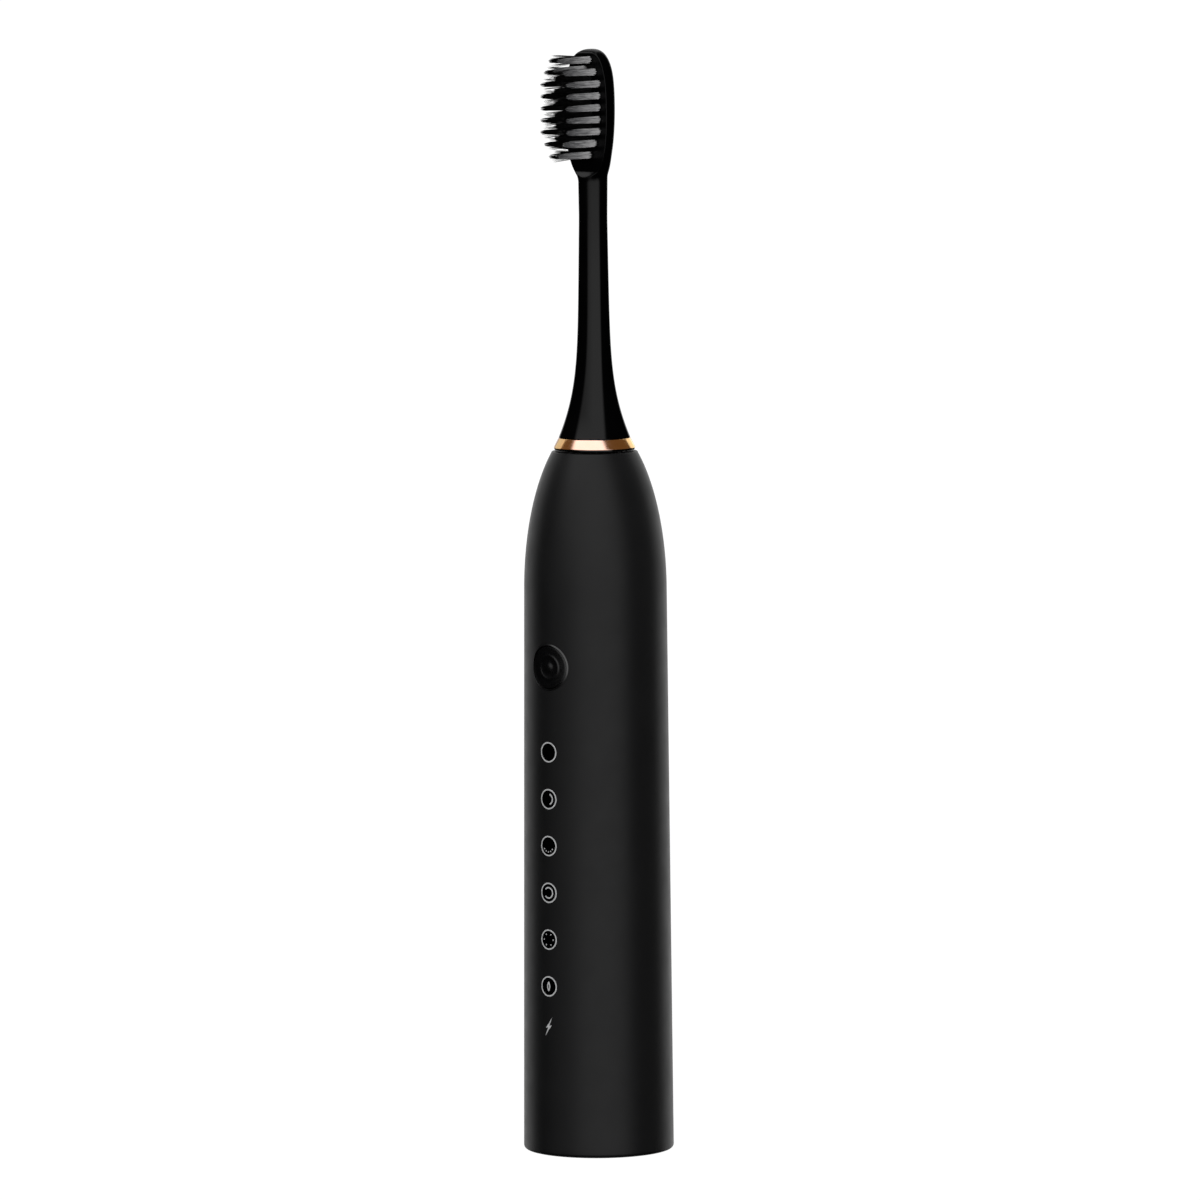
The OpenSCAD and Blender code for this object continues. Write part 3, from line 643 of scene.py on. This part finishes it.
RIM_X = (1.12, 2.4, 3.36, 3.36, 3.36, 3.36, 3.36, 2.4, 1.12)
INNER_X = 1.05
INNER_ROWS = (1.5, 2.5, 3.5, 4.5, 5.5, 6.5)
LONE_ROWS = (0.8, 7.2)
TIP_ROWS = 2
ROW_PITCH = 2.37 * MM
TOP_ROW_Z = TIP_Z - 2.1 * MM
ROOT_Y = FACE_Y + 0.35 * MM
TUFT_R = 0.75 * MM
TUFT_ENDS = {"tip": RIM_END_Y, "outer": RIM_END_Y, "inner": INNER_END_Y}
TUFT_POINT = 3.0 * MM  # how much shorter a tuft is at its rim than in its middle
FILAMENTS = 46
FILAMENT_R = (0.070, 0.088)  # from and to, in mm
TAPER = ((0, 1.0), (0.45, 0.97), (0.78, 0.8), (0.93, 0.5), (0.985, 0.26))  # (place along it, width)
GOLDEN_ANGLE = 2.39996
STRAYS = 36
STRAY_R = 0.024 * MM
STRAY_SHORT = (1.0, 1.9)  # from and to, in mm
STRAY_SPLAY = (1.0, 1.75)  # from and to, times the tuft's radius


def tufts(group):
    """Places of one group's tufts, as (x, z): the tip rows, the rim below them, or the inside."""
    rim = [(side * x, k) for k, x in enumerate(RIM_X) for side in (-1, 1)]
    if group == "tip":
        places = [(x, k) for x, k in rim if k < TIP_ROWS] + [(0, LONE_ROWS[0])]
    elif group == "outer":
        places = [(x, k) for x, k in rim if k >= TIP_ROWS]
    else:
        places = [(side * INNER_X, k) for k in INNER_ROWS for side in (-1, 1)] + [(0, LONE_ROWS[1])]
    return [(x * MM, TOP_ROW_Z - ROW_PITCH * k) for x, k in places]


def filament(root, tip, radius, sides=6):
    """One filament that tapers to a point."""
    along = tip - root
    length = along.length
    side = along.cross(Vector((0, 0, 1))).normalized()
    up = along.cross(side).normalized()
    rings = []
    for t, scale in TAPER:
        centre = root + along * t
        ring = []
        for k in range(sides):
            a = TURN * k / sides
            ring.append(centre + (side * math.cos(a) + up * math.sin(a)) * radius * scale)
        rings.append(ring)
    return join_rings(rings, start=root - along * (0.01 * MM / length), end=tip)


def bundled(k, x, z, end, rng):
    """Filament k of a tuft: shorter the further it stands from the middle, and leaning inwards."""
    reach = math.sqrt((k + 0.5) / FILAMENTS)
    angle = k * GOLDEN_ANGLE + rng.uniform(-0.2, 0.2)
    spread = (TUFT_R - 0.07 * MM) * reach
    dx, dz = spread * math.cos(angle), spread * math.sin(angle)
    short = TUFT_POINT * reach ** 5 + rng.uniform(0, 0.25) * MM
    close = 0.84 + 0.1 * rng.random()
    tip = Vector((x + dx * close + rng.gauss(0, 0.04) * MM, end + short,
                  z + dz * close + rng.gauss(0, 0.04) * MM))
    return filament(Vector((x + dx, ROOT_Y, z + dz)), tip, rng.uniform(*FILAMENT_R) * MM)


def stray(x, z, end, rng):
    """A thin filament that splays up or down out of a tuft."""
    angle = rng.choice((1, -1)) * TURN / 4 + rng.uniform(-0.6, 0.6)
    dx, dz = TUFT_R * math.cos(angle), TUFT_R * math.sin(angle)
    splay = rng.uniform(*STRAY_SPLAY)
    tip = Vector((x + dx * splay, end + rng.uniform(*STRAY_SHORT) * MM, z + dz * splay))
    return filament(Vector((x + 0.8 * dx, ROOT_Y, z + 0.8 * dz)), tip, STRAY_R, sides=5)


def tuft(x, z, end, rng):
    """The filaments of one tuft: a bundle that ends in a blunt point, and strays on the -X side."""
    parts = [bundled(k, x, z, end, rng) for k in range(FILAMENTS)]
    if x < 0:
        parts += [stray(x, z, end, rng) for k in range(STRAYS)]
    return merge(parts)


def bristles():
    """Three groups of tufts. Those at -X are pieces of their own, which the bristle light leaves out."""
    rng = random.Random(7)
    for group, end in TUFT_ENDS.items():
        name, node = "bristles_" + group, "tufts_" + group
        verts, faces = merge([tuft(x, z, end, rng) for x, z in tufts(group) if x >= 0])
        piece(name, verts, faces, "brush_head", "bristle_black", [node], sharp=70)
        verts, faces = merge([tuft(x, z, end, rng) for x, z in tufts(group) if x < 0])
        piece(name + "_left", verts, faces, "brush_head", "bristle_black", sharp=70)


# ---- Materials ----

MATERIALS = {}
SATIN_LOW_Z = 0.180  # where the gloss of the head starts to turn to satin
SATIN_HIGH_Z = 0.204


class Surface:
    """A Principled material with object-space textures for its colour, roughness and relief."""

    def __init__(self, name, roughness, metallic=0.0, specular=0.5):
        self.material = bpy.data.materials.new(name)
        self.material.use_nodes = True
        self.nodes = self.material.node_tree.nodes
        self.links = self.material.node_tree.links
        self.shader = self.nodes["Principled BSDF"]
        self.set("Roughness", roughness)
        self.set("Metallic", metallic)
        self.set("Specular IOR Level", specular)
        self.coordinates = self.nodes.new("ShaderNodeTexCoord").outputs["Object"]
        self.normal = None

    def set(self, socket, value):
        """Sets one of the shader's own values."""
        self.shader.inputs[socket].default_value = value

    def stretched(self, scale):
        """The object's coordinates, scaled by a different amount along each axis."""
        mapping = self.nodes.new("ShaderNodeMapping")
        mapping.inputs["Scale"].default_value = scale
        self.links.new(self.coordinates, mapping.inputs["Vector"])
        return mapping.outputs["Vector"]

    def noise(self, size, detail=3.0, vector=None):
        """Noise whose features are about size metres across."""
        node = self.nodes.new("ShaderNodeTexNoise")
        node.inputs["Scale"].default_value = 1 / size
        node.inputs["Detail"].default_value = detail
        self.links.new(vector or self.coordinates, node.inputs["Vector"])
        return node.outputs["Fac"]

    def cells(self, size, vector=None):
        """Distance to the nearest of many scattered points about size metres apart."""
        node = self.nodes.new("ShaderNodeTexVoronoi")
        node.inputs["Scale"].default_value = 1 / size
        self.links.new(vector or self.coordinates, node.inputs["Vector"])
        return node.outputs["Distance"]

    def bands(self, size, direction, distortion=0.0):
        """Regular bands size metres apart along an axis."""
        node = self.nodes.new("ShaderNodeTexWave")
        node.bands_direction = direction  # at scale 1 they are TURN / 20 apart
        node.inputs["Scale"].default_value = TURN / size / 20
        node.inputs["Distortion"].default_value = distortion
        self.links.new(self.coordinates, node.inputs["Vector"])
        return node.outputs["Fac"]

    def place(self, axis):
        """One of the object's coordinates, in metres."""
        split = self.nodes.new("ShaderNodeSeparateXYZ")
        self.links.new(self.coordinates, split.inputs["Vector"])
        return split.outputs[axis]

    def plus(self, a, b, scale):
        """a plus b times a scale."""
        scaled = math_node(self.nodes, self.links, "MULTIPLY", b, scale)
        return math_node(self.nodes, self.links, "ADD", a, scaled)

    def ramp(self, factor, low, high, start=0.3, end=0.7):
        """factor turned into a value or colour between low and high."""
        node = self.nodes.new("ShaderNodeValToRGB")
        for element, place, value in zip(node.color_ramp.elements, (start, end), (low, high)):
            element.position = place
            element.color = (*value, 1) if isinstance(value, tuple) else (value, value, value, 1)
        self.links.new(factor, node.inputs["Fac"])
        return node.outputs["Color"]

    def colour(self, factor, low, high, start=0.3, end=0.7):
        """Base colour between low and high by a factor."""
        self.links.new(self.ramp(factor, low, high, start, end), self.shader.inputs["Base Color"])

    def roughness(self, factor, low, high, start=0.3, end=0.7):
        """Roughness between low and high by a factor."""
        self.links.new(self.ramp(factor, low, high, start, end), self.shader.inputs["Roughness"])

    def relief(self, factor, height, strength=1.0):
        """Bumps of a height in metres, added to those already there."""
        node = self.nodes.new("ShaderNodeBump")
        node.inputs["Strength"].default_value = strength
        node.inputs["Distance"].default_value = height
        self.links.new(factor, node.inputs["Height"])
        if self.normal:
            self.links.new(self.normal, node.inputs["Normal"])
        self.normal = node.outputs["Normal"]
        self.links.new(self.normal, self.shader.inputs["Normal"])


def soft_black():
    """Soft-touch coating: near black, with a very fine grain."""
    s = Surface("soft_touch_black", 0.42, specular=0.22)
    s.colour(s.noise(9 * MM), (0.0050, 0.0050, 0.0053), (0.0062, 0.0062, 0.0065))
    s.roughness(s.noise(4 * MM), 0.40, 0.45)
    s.relief(s.noise(0.11 * MM, 4), 0.0035 * MM, 0.6)
    return s.material


def gloss_black():
    """Polished moulded plastic with faint flow waves, satin from the top of the neck up."""
    s = Surface("gloss_black", 0.13, specular=0.2)
    s.colour(s.noise(6 * MM), (0.0008, 0.0008, 0.0009), (0.0014, 0.0014, 0.0015))
    height = s.plus(s.place("Z"), s.noise(1.2 * MM, 5), 4 * MM)
    s.roughness(height, 0.12, 0.26, SATIN_LOW_Z, SATIN_HIGH_Z)
    specular = s.ramp(height, 0.2, 0.15, SATIN_LOW_Z, SATIN_HIGH_Z)
    s.links.new(specular, s.shader.inputs["Specular IOR Level"])
    s.relief(s.noise(3.5 * MM, 1), 0.006 * MM, 0.3)
    return s.material


def button_black():
    """Satin black plastic."""
    s = Surface("button_black", 0.28, specular=0.5)
    s.colour(s.noise(2 * MM), (0.0026, 0.0026, 0.0029), (0.0036, 0.0036, 0.0039))
    s.roughness(s.noise(0.6 * MM), 0.25, 0.31)
    s.relief(s.noise(0.08 * MM, 3), 0.002 * MM, 0.5)
    return s.material


def bezel_black():
    """Satin collar, smoother than the coating round it."""
    s = Surface("bezel_black", 0.3, specular=0.8)
    s.colour(s.noise(1.5 * MM), (0.0052, 0.0052, 0.0055), (0.0070, 0.0070, 0.0073))
    s.roughness(s.noise(0.5 * MM), 0.28, 0.34)
    return s.material


def lens_black():
    """Dark glossy window of a mode light."""
    s = Surface("lens_black", 0.2, specular=0.08)
    s.colour(s.noise(0.8 * MM), (0.0004, 0.0004, 0.0005), (0.0008, 0.0008, 0.0009))
    s.roughness(s.noise(0.4 * MM), 0.2, 0.3)
    return s.material


def light_window():
    """Pale grey light window, slightly cloudy, with a faint painted glow from its emission."""
    s = Surface("light_window", 0.45)
    s.colour(s.noise(0.35 * MM), (0.36, 0.365, 0.37), (0.52, 0.525, 0.53))
    # Painted glow: the window emits a little light of its own, though it is no lamp.
    s.set("Emission Color", (1, 1, 1, 1))
    s.set("Emission Strength", 0.07)
    s.roughness(s.noise(0.2 * MM), 0.4, 0.5)
    return s.material


def rose_gold():
    """Polished rose gold with fine turning marks round it."""
    s = Surface("rose_gold", 0.14, metallic=1.0)
    s.colour(s.noise(2.5 * MM), (0.94, 0.60, 0.47), (0.96, 0.63, 0.51))
    s.roughness(s.noise(0.8 * MM, 4, s.stretched((0.15, 0.15, 4))), 0.13, 0.20)
    s.relief(s.noise(0.5 * MM, 3, s.stretched((0.05, 0.05, 8))), 0.0006 * MM, 0.4)
    return s.material


def bristle_black():
    """Charcoal nylon filament, streaked along its length, with painted shade: paler at the root, darker
    towards the tip.
    """
    s = Surface("bristle_charcoal", 0.4, specular=0.1)
    streaks = s.noise(0.2 * MM, 3, s.stretched((1, 0.08, 1)))
    # Painted shade along the filaments: the colour is paler at the root and darker towards the tip.
    shade = s.plus(streaks, s.place("Y"), 50)
    s.colour(shade, (0.004, 0.004, 0.0042), (0.024, 0.0238, 0.0240), 0.0, 0.5)
    s.roughness(s.noise(0.3 * MM), 0.25, 0.4)
    s.relief(s.noise(0.06 * MM), 0.001 * MM, 0.5)
    return s.material


def rubber(name, low, high):
    """Matt elastomer with a fine grain."""
    s = Surface(name, 0.65)
    s.colour(s.noise(1.5 * MM), low, high)
    s.roughness(s.noise(0.7 * MM), 0.58, 0.72)
    s.relief(s.noise(0.12 * MM, 4), 0.004 * MM, 0.7)
    return s.material


def moulded(name, low, high, roughness=0.42):
    """Moulded plastic with a fine spark-eroded texture."""
    s = Surface(name, roughness)
    s.colour(s.noise(3 * MM), low, high)
    s.roughness(s.noise(0.9 * MM), roughness - 0.06, roughness + 0.06)
    s.relief(s.noise(0.15 * MM, 4), 0.004 * MM, 0.5)
    return s.material


def worked_metal(name, low, high, roughness, stretch, mark=0.4 * MM):
    """Metal with marks drawn out along the way that it was worked."""
    s = Surface(name, roughness, metallic=1.0)
    lines = s.noise(mark, 4, s.stretched(stretch))
    s.colour(lines, low, high)
    s.roughness(lines, roughness - 0.07, roughness + 0.08)
    s.relief(lines, 0.0015 * MM, 0.5)
    return s.material


def wound_copper():
    """Enamelled wire in close turns, with painted shade darkening the grooves between them."""
    s = Surface("wound_copper", 0.3, metallic=1.0)
    turns = s.bands(0.22 * MM, "Z", 0.3)
    # Painted shade: the colour darkens into the grooves between the turns.
    s.colour(turns, (0.30, 0.10, 0.04), (0.80, 0.36, 0.18), 0.1, 0.8)
    s.roughness(s.noise(0.5 * MM), 0.25, 0.4)
    s.relief(turns, 0.06 * MM, 0.8)
    return s.material


def sintered(name, low, high):
    """Pressed metal powder with open pores, their insides darkened by painted shade."""
    s = Surface(name, 0.5, metallic=1.0)
    pores = s.cells(0.12 * MM)
    # Painted shade: the colour darkens into the pores.
    s.colour(pores, low, high, 0.1, 0.6)
    s.roughness(s.noise(0.3 * MM), 0.4, 0.6)
    s.relief(pores, 0.01 * MM, 0.6)
    return s.material


def ferrite():
    """Dark sintered ceramic."""
    s = Surface("ferrite", 0.55)
    s.colour(s.noise(0.3 * MM, 5), (0.012, 0.012, 0.014), (0.045, 0.045, 0.050))
    s.roughness(s.noise(0.2 * MM), 0.45, 0.65)
    s.relief(s.noise(0.1 * MM, 5), 0.01 * MM, 0.6)
    return s.material


def board_green():
    """Solder mask over copper tracks, which show as paler lines."""
    s = Surface("board_green", 0.3)
    tracks = s.cells(1.6 * MM, s.stretched((1, 0.2, 0.35)))
    s.colour(tracks, (0.004, 0.050, 0.020), (0.010, 0.110, 0.045), 0.42, 0.46)
    s.roughness(s.noise(0.5 * MM), 0.25, 0.38)
    s.relief(tracks, 0.01 * MM, 0.5)
    return s.material


def cell_blue():
    """Shrink wrap round the cell: smooth, with slight creases."""
    s = Surface("cell_wrap_blue", 0.25)
    s.colour(s.noise(5 * MM), (0.010, 0.080, 0.230), (0.016, 0.110, 0.290))
    s.roughness(s.noise(1 * MM), 0.2, 0.32)
    s.relief(s.noise(2.5 * MM, 2, s.stretched((1, 1, 0.2))), 0.03 * MM, 0.4)
    return s.material


def led_white():
    """Phosphor of a white light, a little yellow in the middle."""
    s = Surface("led_white", 0.35)
    s.colour(s.cells(0.5 * MM), (0.85, 0.72, 0.25), (0.86, 0.85, 0.80), 0.2, 0.5)
    s.roughness(s.noise(0.2 * MM), 0.3, 0.4)
    return s.material


def foam_grey():
    """Closed-cell foam, its pores darkened by painted shade."""
    s = Surface("foam_grey", 0.8)
    pores = s.cells(0.25 * MM)
    # Painted shade: the colour darkens into the pores.
    s.colour(pores, (0.030, 0.030, 0.032), (0.085, 0.085, 0.088), 0.1, 0.6)
    s.roughness(s.noise(0.6 * MM), 0.75, 0.9)
    s.relief(pores, 0.05 * MM, 0.7)
    return s.material


MAKERS = {
    "soft_black": soft_black,
    "gloss_black": gloss_black,
    "button_black": button_black,
    "lens_black": lens_black,
    "bezel_black": bezel_black,
    "light_window": light_window,
    "rose_gold": rose_gold,
    "bristle_black": bristle_black,
    "seal_black": lambda: rubber("seal_black", (0.008, 0.008, 0.009), (0.016, 0.016, 0.017)),
    "seal_blue": lambda: rubber("seal_blue", (0.010, 0.070, 0.130), (0.016, 0.095, 0.170)),
    "lead_red": lambda: rubber("lead_red", (0.30, 0.020, 0.014), (0.42, 0.030, 0.020)),
    "natural_plastic": lambda: moulded("natural_acetal", (0.60, 0.57, 0.50), (0.68, 0.66, 0.59)),
    "dark_plastic": lambda: moulded("dark_plastic", (0.025, 0.026, 0.030), (0.040, 0.041, 0.046)),
    "baffle_white": lambda: moulded("baffle_white", (0.72, 0.72, 0.70), (0.80, 0.80, 0.78)),
    "chip_black": lambda: moulded("chip_epoxy", (0.010, 0.010, 0.011), (0.022, 0.022, 0.024), 0.5),
    "screw_steel": lambda: worked_metal("screw_zinc", (0.42, 0.44, 0.47), (0.58, 0.60, 0.63), 0.3, (1, 1, 3)),
    "case_steel": lambda: worked_metal(
        "drawn_steel", (0.42, 0.43, 0.45), (0.56, 0.57, 0.59), 0.32, (6, 6, 0.3)),
    "core_steel": lambda: worked_metal(
        "stacked_steel", (0.10, 0.105, 0.12), (0.26, 0.27, 0.29), 0.42, (0.3, 0.3, 5)),
    "shaft_steel": lambda: worked_metal(
        "ground_steel", (0.60, 0.61, 0.63), (0.72, 0.73, 0.75), 0.18, (0.3, 0.3, 9)),
    "spring_steel": lambda: worked_metal(
        "spring_steel", (0.32, 0.33, 0.36), (0.46, 0.47, 0.50), 0.28, (1, 1, 4)),
    "tab_nickel": lambda: worked_metal(
        "nickel_strip", (0.50, 0.50, 0.47), (0.62, 0.61, 0.58), 0.3, (4, 0.4, 1)),
    "magnet_nickel": lambda: worked_metal(
        "nickel_plate", (0.48, 0.48, 0.47), (0.60, 0.60, 0.58), 0.2, (1, 1, 1)),
    "contact_gold": lambda: worked_metal(
        "contact_gold", (0.78, 0.52, 0.18), (0.88, 0.62, 0.26), 0.2, (3, 1, 1)),
    "anchor_brass": lambda: worked_metal(
        "brass_strip", (0.62, 0.45, 0.16), (0.74, 0.56, 0.24), 0.3, (3, 1, 1)),
    "bearing_bronze": lambda: sintered("sintered_bronze", (0.22, 0.12, 0.04), (0.58, 0.36, 0.16)),
    "winding_copper": wound_copper,
    "ferrite": ferrite,
    "board_green": board_green,
    "cell_blue": cell_blue,
    "led_white": led_white,
    "pad_grey": foam_grey,
}


def material_of(slot):
    """The slot's material, made the first time that it is asked for."""
    if slot not in MATERIALS:
        MATERIALS[slot] = MAKERS[slot]()
    return MATERIALS[slot]


def dress_frame():
    """Gives each CAD node its slot's material."""
    slots = {part["node"]: part["material_slot"] for part in frame["record"]["subparts"]}
    for node, obj in frame["nodes"].items():
        obj.data.materials.clear()
        obj.data.materials.append(material_of(slots[node]))


# ---- Studio ----

CAMERA_AZIMUTH = 41.5
CAMERA_DISTANCE = 1.875
CAMERA_HEIGHT = 0.2942
CAMERA_ROLL = -0.36
CAMERA_LENS = 282
AIM_Z = 0.1108
AIM_RIGHT = 0.0009


def direction(azimuth):
    """Unit vector from the toothbrush towards an azimuth, where 0 is the front."""
    a = math.radians(azimuth)
    return Vector((math.sin(a), -math.cos(a), 0))


def camera():
    """A long lens at the photograph's angle."""
    data = bpy.data.cameras.new("camera")
    data.lens = CAMERA_LENS
    data.sensor_width = 36
    data.clip_start = 0.1
    obj = bpy.data.objects.new("camera", data)
    bpy.context.scene.collection.objects.link(obj)
    out = direction(CAMERA_AZIMUTH)
    place = out * CAMERA_DISTANCE + Vector((0, 0, CAMERA_HEIGHT))
    aim = direction(CAMERA_AZIMUTH + 90) * AIM_RIGHT + Vector((0, 0, AIM_Z))
    turn = (aim - place).to_track_quat("-Z", "Y").to_matrix()
    turn = turn @ Matrix.Rotation(math.radians(CAMERA_ROLL), 3, "Z")
    obj.matrix_world = Matrix.Translation(place) @ turn.to_4x4()
    bpy.context.scene.camera = obj


def softbox(name, azimuth, height, width, tall, radiance, receivers,
            distance=1.2, aim_z=AIM_Z, colour=(1, 1, 1)):
    """A rectangular light at an azimuth from the camera, which lights only the pieces named."""
    data = bpy.data.lights.new(name, "AREA")
    data.shape = "RECTANGLE"
    data.size = width
    data.size_y = tall
    data.color = colour
    data.energy = radiance * math.pi * width * tall
    obj = bpy.data.objects.new(name, data)
    bpy.context.scene.collection.objects.link(obj)
    place = direction(CAMERA_AZIMUTH + azimuth) * distance + Vector((0, 0, height))
    turn = (Vector((0, 0, aim_z)) - place).to_track_quat("-Z", "Y")
    obj.matrix_world = Matrix.Translation(place) @ turn.to_matrix().to_4x4()
    obj.visible_camera = False
    lit = bpy.data.collections.new(name + "_receivers")
    for receiver in receivers:
        lit.objects.link(bpy.data.objects[receiver])
    obj.light_linking.receiver_collection = lit


def lights():
    """Walls behind for the handle's rims, warm cards beside the ring, and lights for the head."""
    rims = ["handle_skin", "mode_light_lines", "mode_light_lenses"]
    softbox("left_wall", -141, 0.5, 1.1, 2.4, 0.88, rims)
    softbox("right_wall", 141, 0.5, 1.1, 2.4, 1.0, rims)
    softbox("left_fill", -64, 0.4, 0.8, 1.6, 0.32, ["handle_skin"])
    softbox("right_fill", 84, 0.4, 0.6, 1.6, 0.22, ["handle_skin"])
    amber = (1, 0.56, 0.14)
    gold = (1, 0.98, 0.58)
    ring = ["ring_band"]
    softbox("left_card", -98, 0.42, 0.5, 0.7, 0.13, ring, distance=0.5, aim_z=RING_Z, colour=amber)
    softbox("right_card", 84, 0.42, 0.9, 0.7, 0.12, ring, distance=0.5, aim_z=RING_Z, colour=amber)
    softbox("left_glow", -136, 0.25, 0.32, 0.6, 0.72, ring, distance=0.5, aim_z=RING_Z, colour=gold)
    softbox("right_glow", 146, 0.25, 0.30, 0.6, 1.1, ring, distance=0.5, aim_z=RING_Z, colour=gold)
    tufts_lit = ["bristles_tip", "bristles_outer"]
    tufts_z = TIP_Z - 12 * MM
    softbox("bristle_light", 58, tufts_z + 0.02, 0.1, 0.1, 1250, tufts_lit, distance=0.5, aim_z=tufts_z)
    scoop_z = (SCOOP_FOOT_Z + SCOOP_TOP_Z) / 2
    softbox("scoop_light", -112, scoop_z + 0.5, 0.36, 0.36, 1.7, ["head_body"], distance=0.5, aim_z=scoop_z)


def math_node(nodes, links, operation, a, b):
    """A Math node on two values or sockets."""
    node = nodes.new("ShaderNodeMath")
    node.operation = operation
    for socket, value in zip(node.inputs, (a, b)):
        if isinstance(value, (int, float)):
            socket.default_value = value
        else:
            links.new(value, socket)
    return node.outputs[0]


def soft_step(nodes, links, value, low, high, to_low=0.0, to_high=1.0):
    """to_low below low, to_high above high, and a smooth step between them."""
    node = nodes.new("ShaderNodeMapRange")
    node.interpolation_type = "SMOOTHSTEP"
    for socket, number in zip(("From Min", "From Max", "To Min", "To Max"), (low, high, to_low, to_high)):
        node.inputs[socket].default_value = number
    links.new(value, node.inputs["Value"])
    return node.outputs["Result"]


FRONT_RADIANCE = 1.5
BACK_RADIANCE = 0.8
DIM_RADIANCE = 0.004
FRONT_LEFT = 46.0  # the front light's edges, in degrees to each side of the camera
FRONT_RIGHT = 51.0
FRONT_LEFT_LEAN = 50.0  # how many degrees each edge moves with the Z of a ray
FRONT_RIGHT_LEAN = 16.0
FRONT_WIDEST_UP = -0.09


def studio_light(nodes, links):
    """How strong the light from each direction is: a broad soft front and a narrow back."""

    def calc(operation, a, b):
        return math_node(nodes, links, operation, a, b)

    def step(value, low, high, to_low=0.0, to_high=1.0):
        return soft_step(nodes, links, value, low, high, to_low, to_high)

    turn = nodes.new("ShaderNodeVectorRotate")
    turn.rotation_type = "Z_AXIS"
    turn.inputs["Angle"].default_value = -math.radians(CAMERA_AZIMUTH)
    links.new(nodes.new("ShaderNodeTexCoord").outputs["Generated"], turn.inputs["Vector"])
    split = nodes.new("ShaderNodeSeparateXYZ")
    links.new(turn.outputs["Vector"], split.inputs["Vector"])
    up = split.outputs["Z"]
    away = calc("MULTIPLY", split.outputs["Y"], -1.0)
    side = calc("MULTIPLY", calc("ARCTAN2", split.outputs["X"], away), 180 / math.pi)
    left_edge = calc("ADD", calc("MULTIPLY", up, FRONT_LEFT_LEAN), FRONT_LEFT)
    from_left = calc("ADD", side, left_edge)
    off_widest = calc("ABSOLUTE", calc("SUBTRACT", up, FRONT_WIDEST_UP), 0.0)
    right_edge = calc("SUBTRACT", FRONT_RIGHT, calc("MULTIPLY", off_widest, FRONT_RIGHT_LEAN))
    from_right = calc("SUBTRACT", right_edge, side)
    front = calc("MULTIPLY", step(from_left, -8.0, 8.0), step(from_right, -7.0, 7.0))
    front = calc("MULTIPLY", front, step(up, -0.5, -0.2))
    fade = calc("MAXIMUM", step(side, -60.0, 0.0, 0.58, 1.0), step(up, 0.2, 0.6))
    front = calc("MULTIPLY", front, fade)
    back = step(calc("ABSOLUTE", side, 0.0), 150.0, 166.0)
    light = calc("ADD", calc("MULTIPLY", front, FRONT_RADIANCE), calc("MULTIPLY", back, BACK_RADIANCE))
    return calc("ADD", light, DIM_RADIANCE)


def world():
    """The studio's light by direction, and plain white for the camera."""
    scene_world = bpy.data.worlds.new("studio")
    bpy.context.scene.world = scene_world
    scene_world.use_nodes = True
    nodes, links = scene_world.node_tree.nodes, scene_world.node_tree.links
    mix = nodes.new("ShaderNodeMix")
    mix.data_type = "FLOAT"
    mix.inputs["B"].default_value = 1.0
    links.new(studio_light(nodes, links), mix.inputs["A"])
    links.new(nodes.new("ShaderNodeLightPath").outputs["Is Camera Ray"], mix.inputs["Factor"])
    links.new(mix.outputs["Result"], nodes["Background"].inputs["Strength"])
    nodes["Background"].inputs["Color"].default_value = (1, 1, 1, 1)


def floor():
    """A plain white floor that meets the white backdrop without a line."""
    size = 6.0
    mesh = bpy.data.meshes.new("floor")
    corners = [(-size, -size, 0), (size, -size, 0), (size, size, 0), (-size, size, 0)]
    mesh.from_pydata(corners, [], [(0, 1, 2, 3)])
    s = Surface("floor_white", 0.9, specular=0.0)
    s.colour(s.noise(0.4), (0.080, 0.080, 0.080), (0.085, 0.085, 0.085))
    s.set("Emission Color", (1, 1, 1, 1))
    s.set("Emission Strength", 1.0)
    mesh.materials.append(s.material)
    obj = bpy.data.objects.new("floor", mesh)
    bpy.context.scene.collection.objects.link(obj)
    obj.visible_diffuse = False
    obj.visible_glossy = False


# ---- Scene ----


dress_frame()
handle_shell()
button_bezel()
mode_lights()
power_button()
head_shell()
accent_ring()
bristles()
camera()
lights()
world()
floor()
bpy.context.scene.view_settings.view_transform = "Standard"
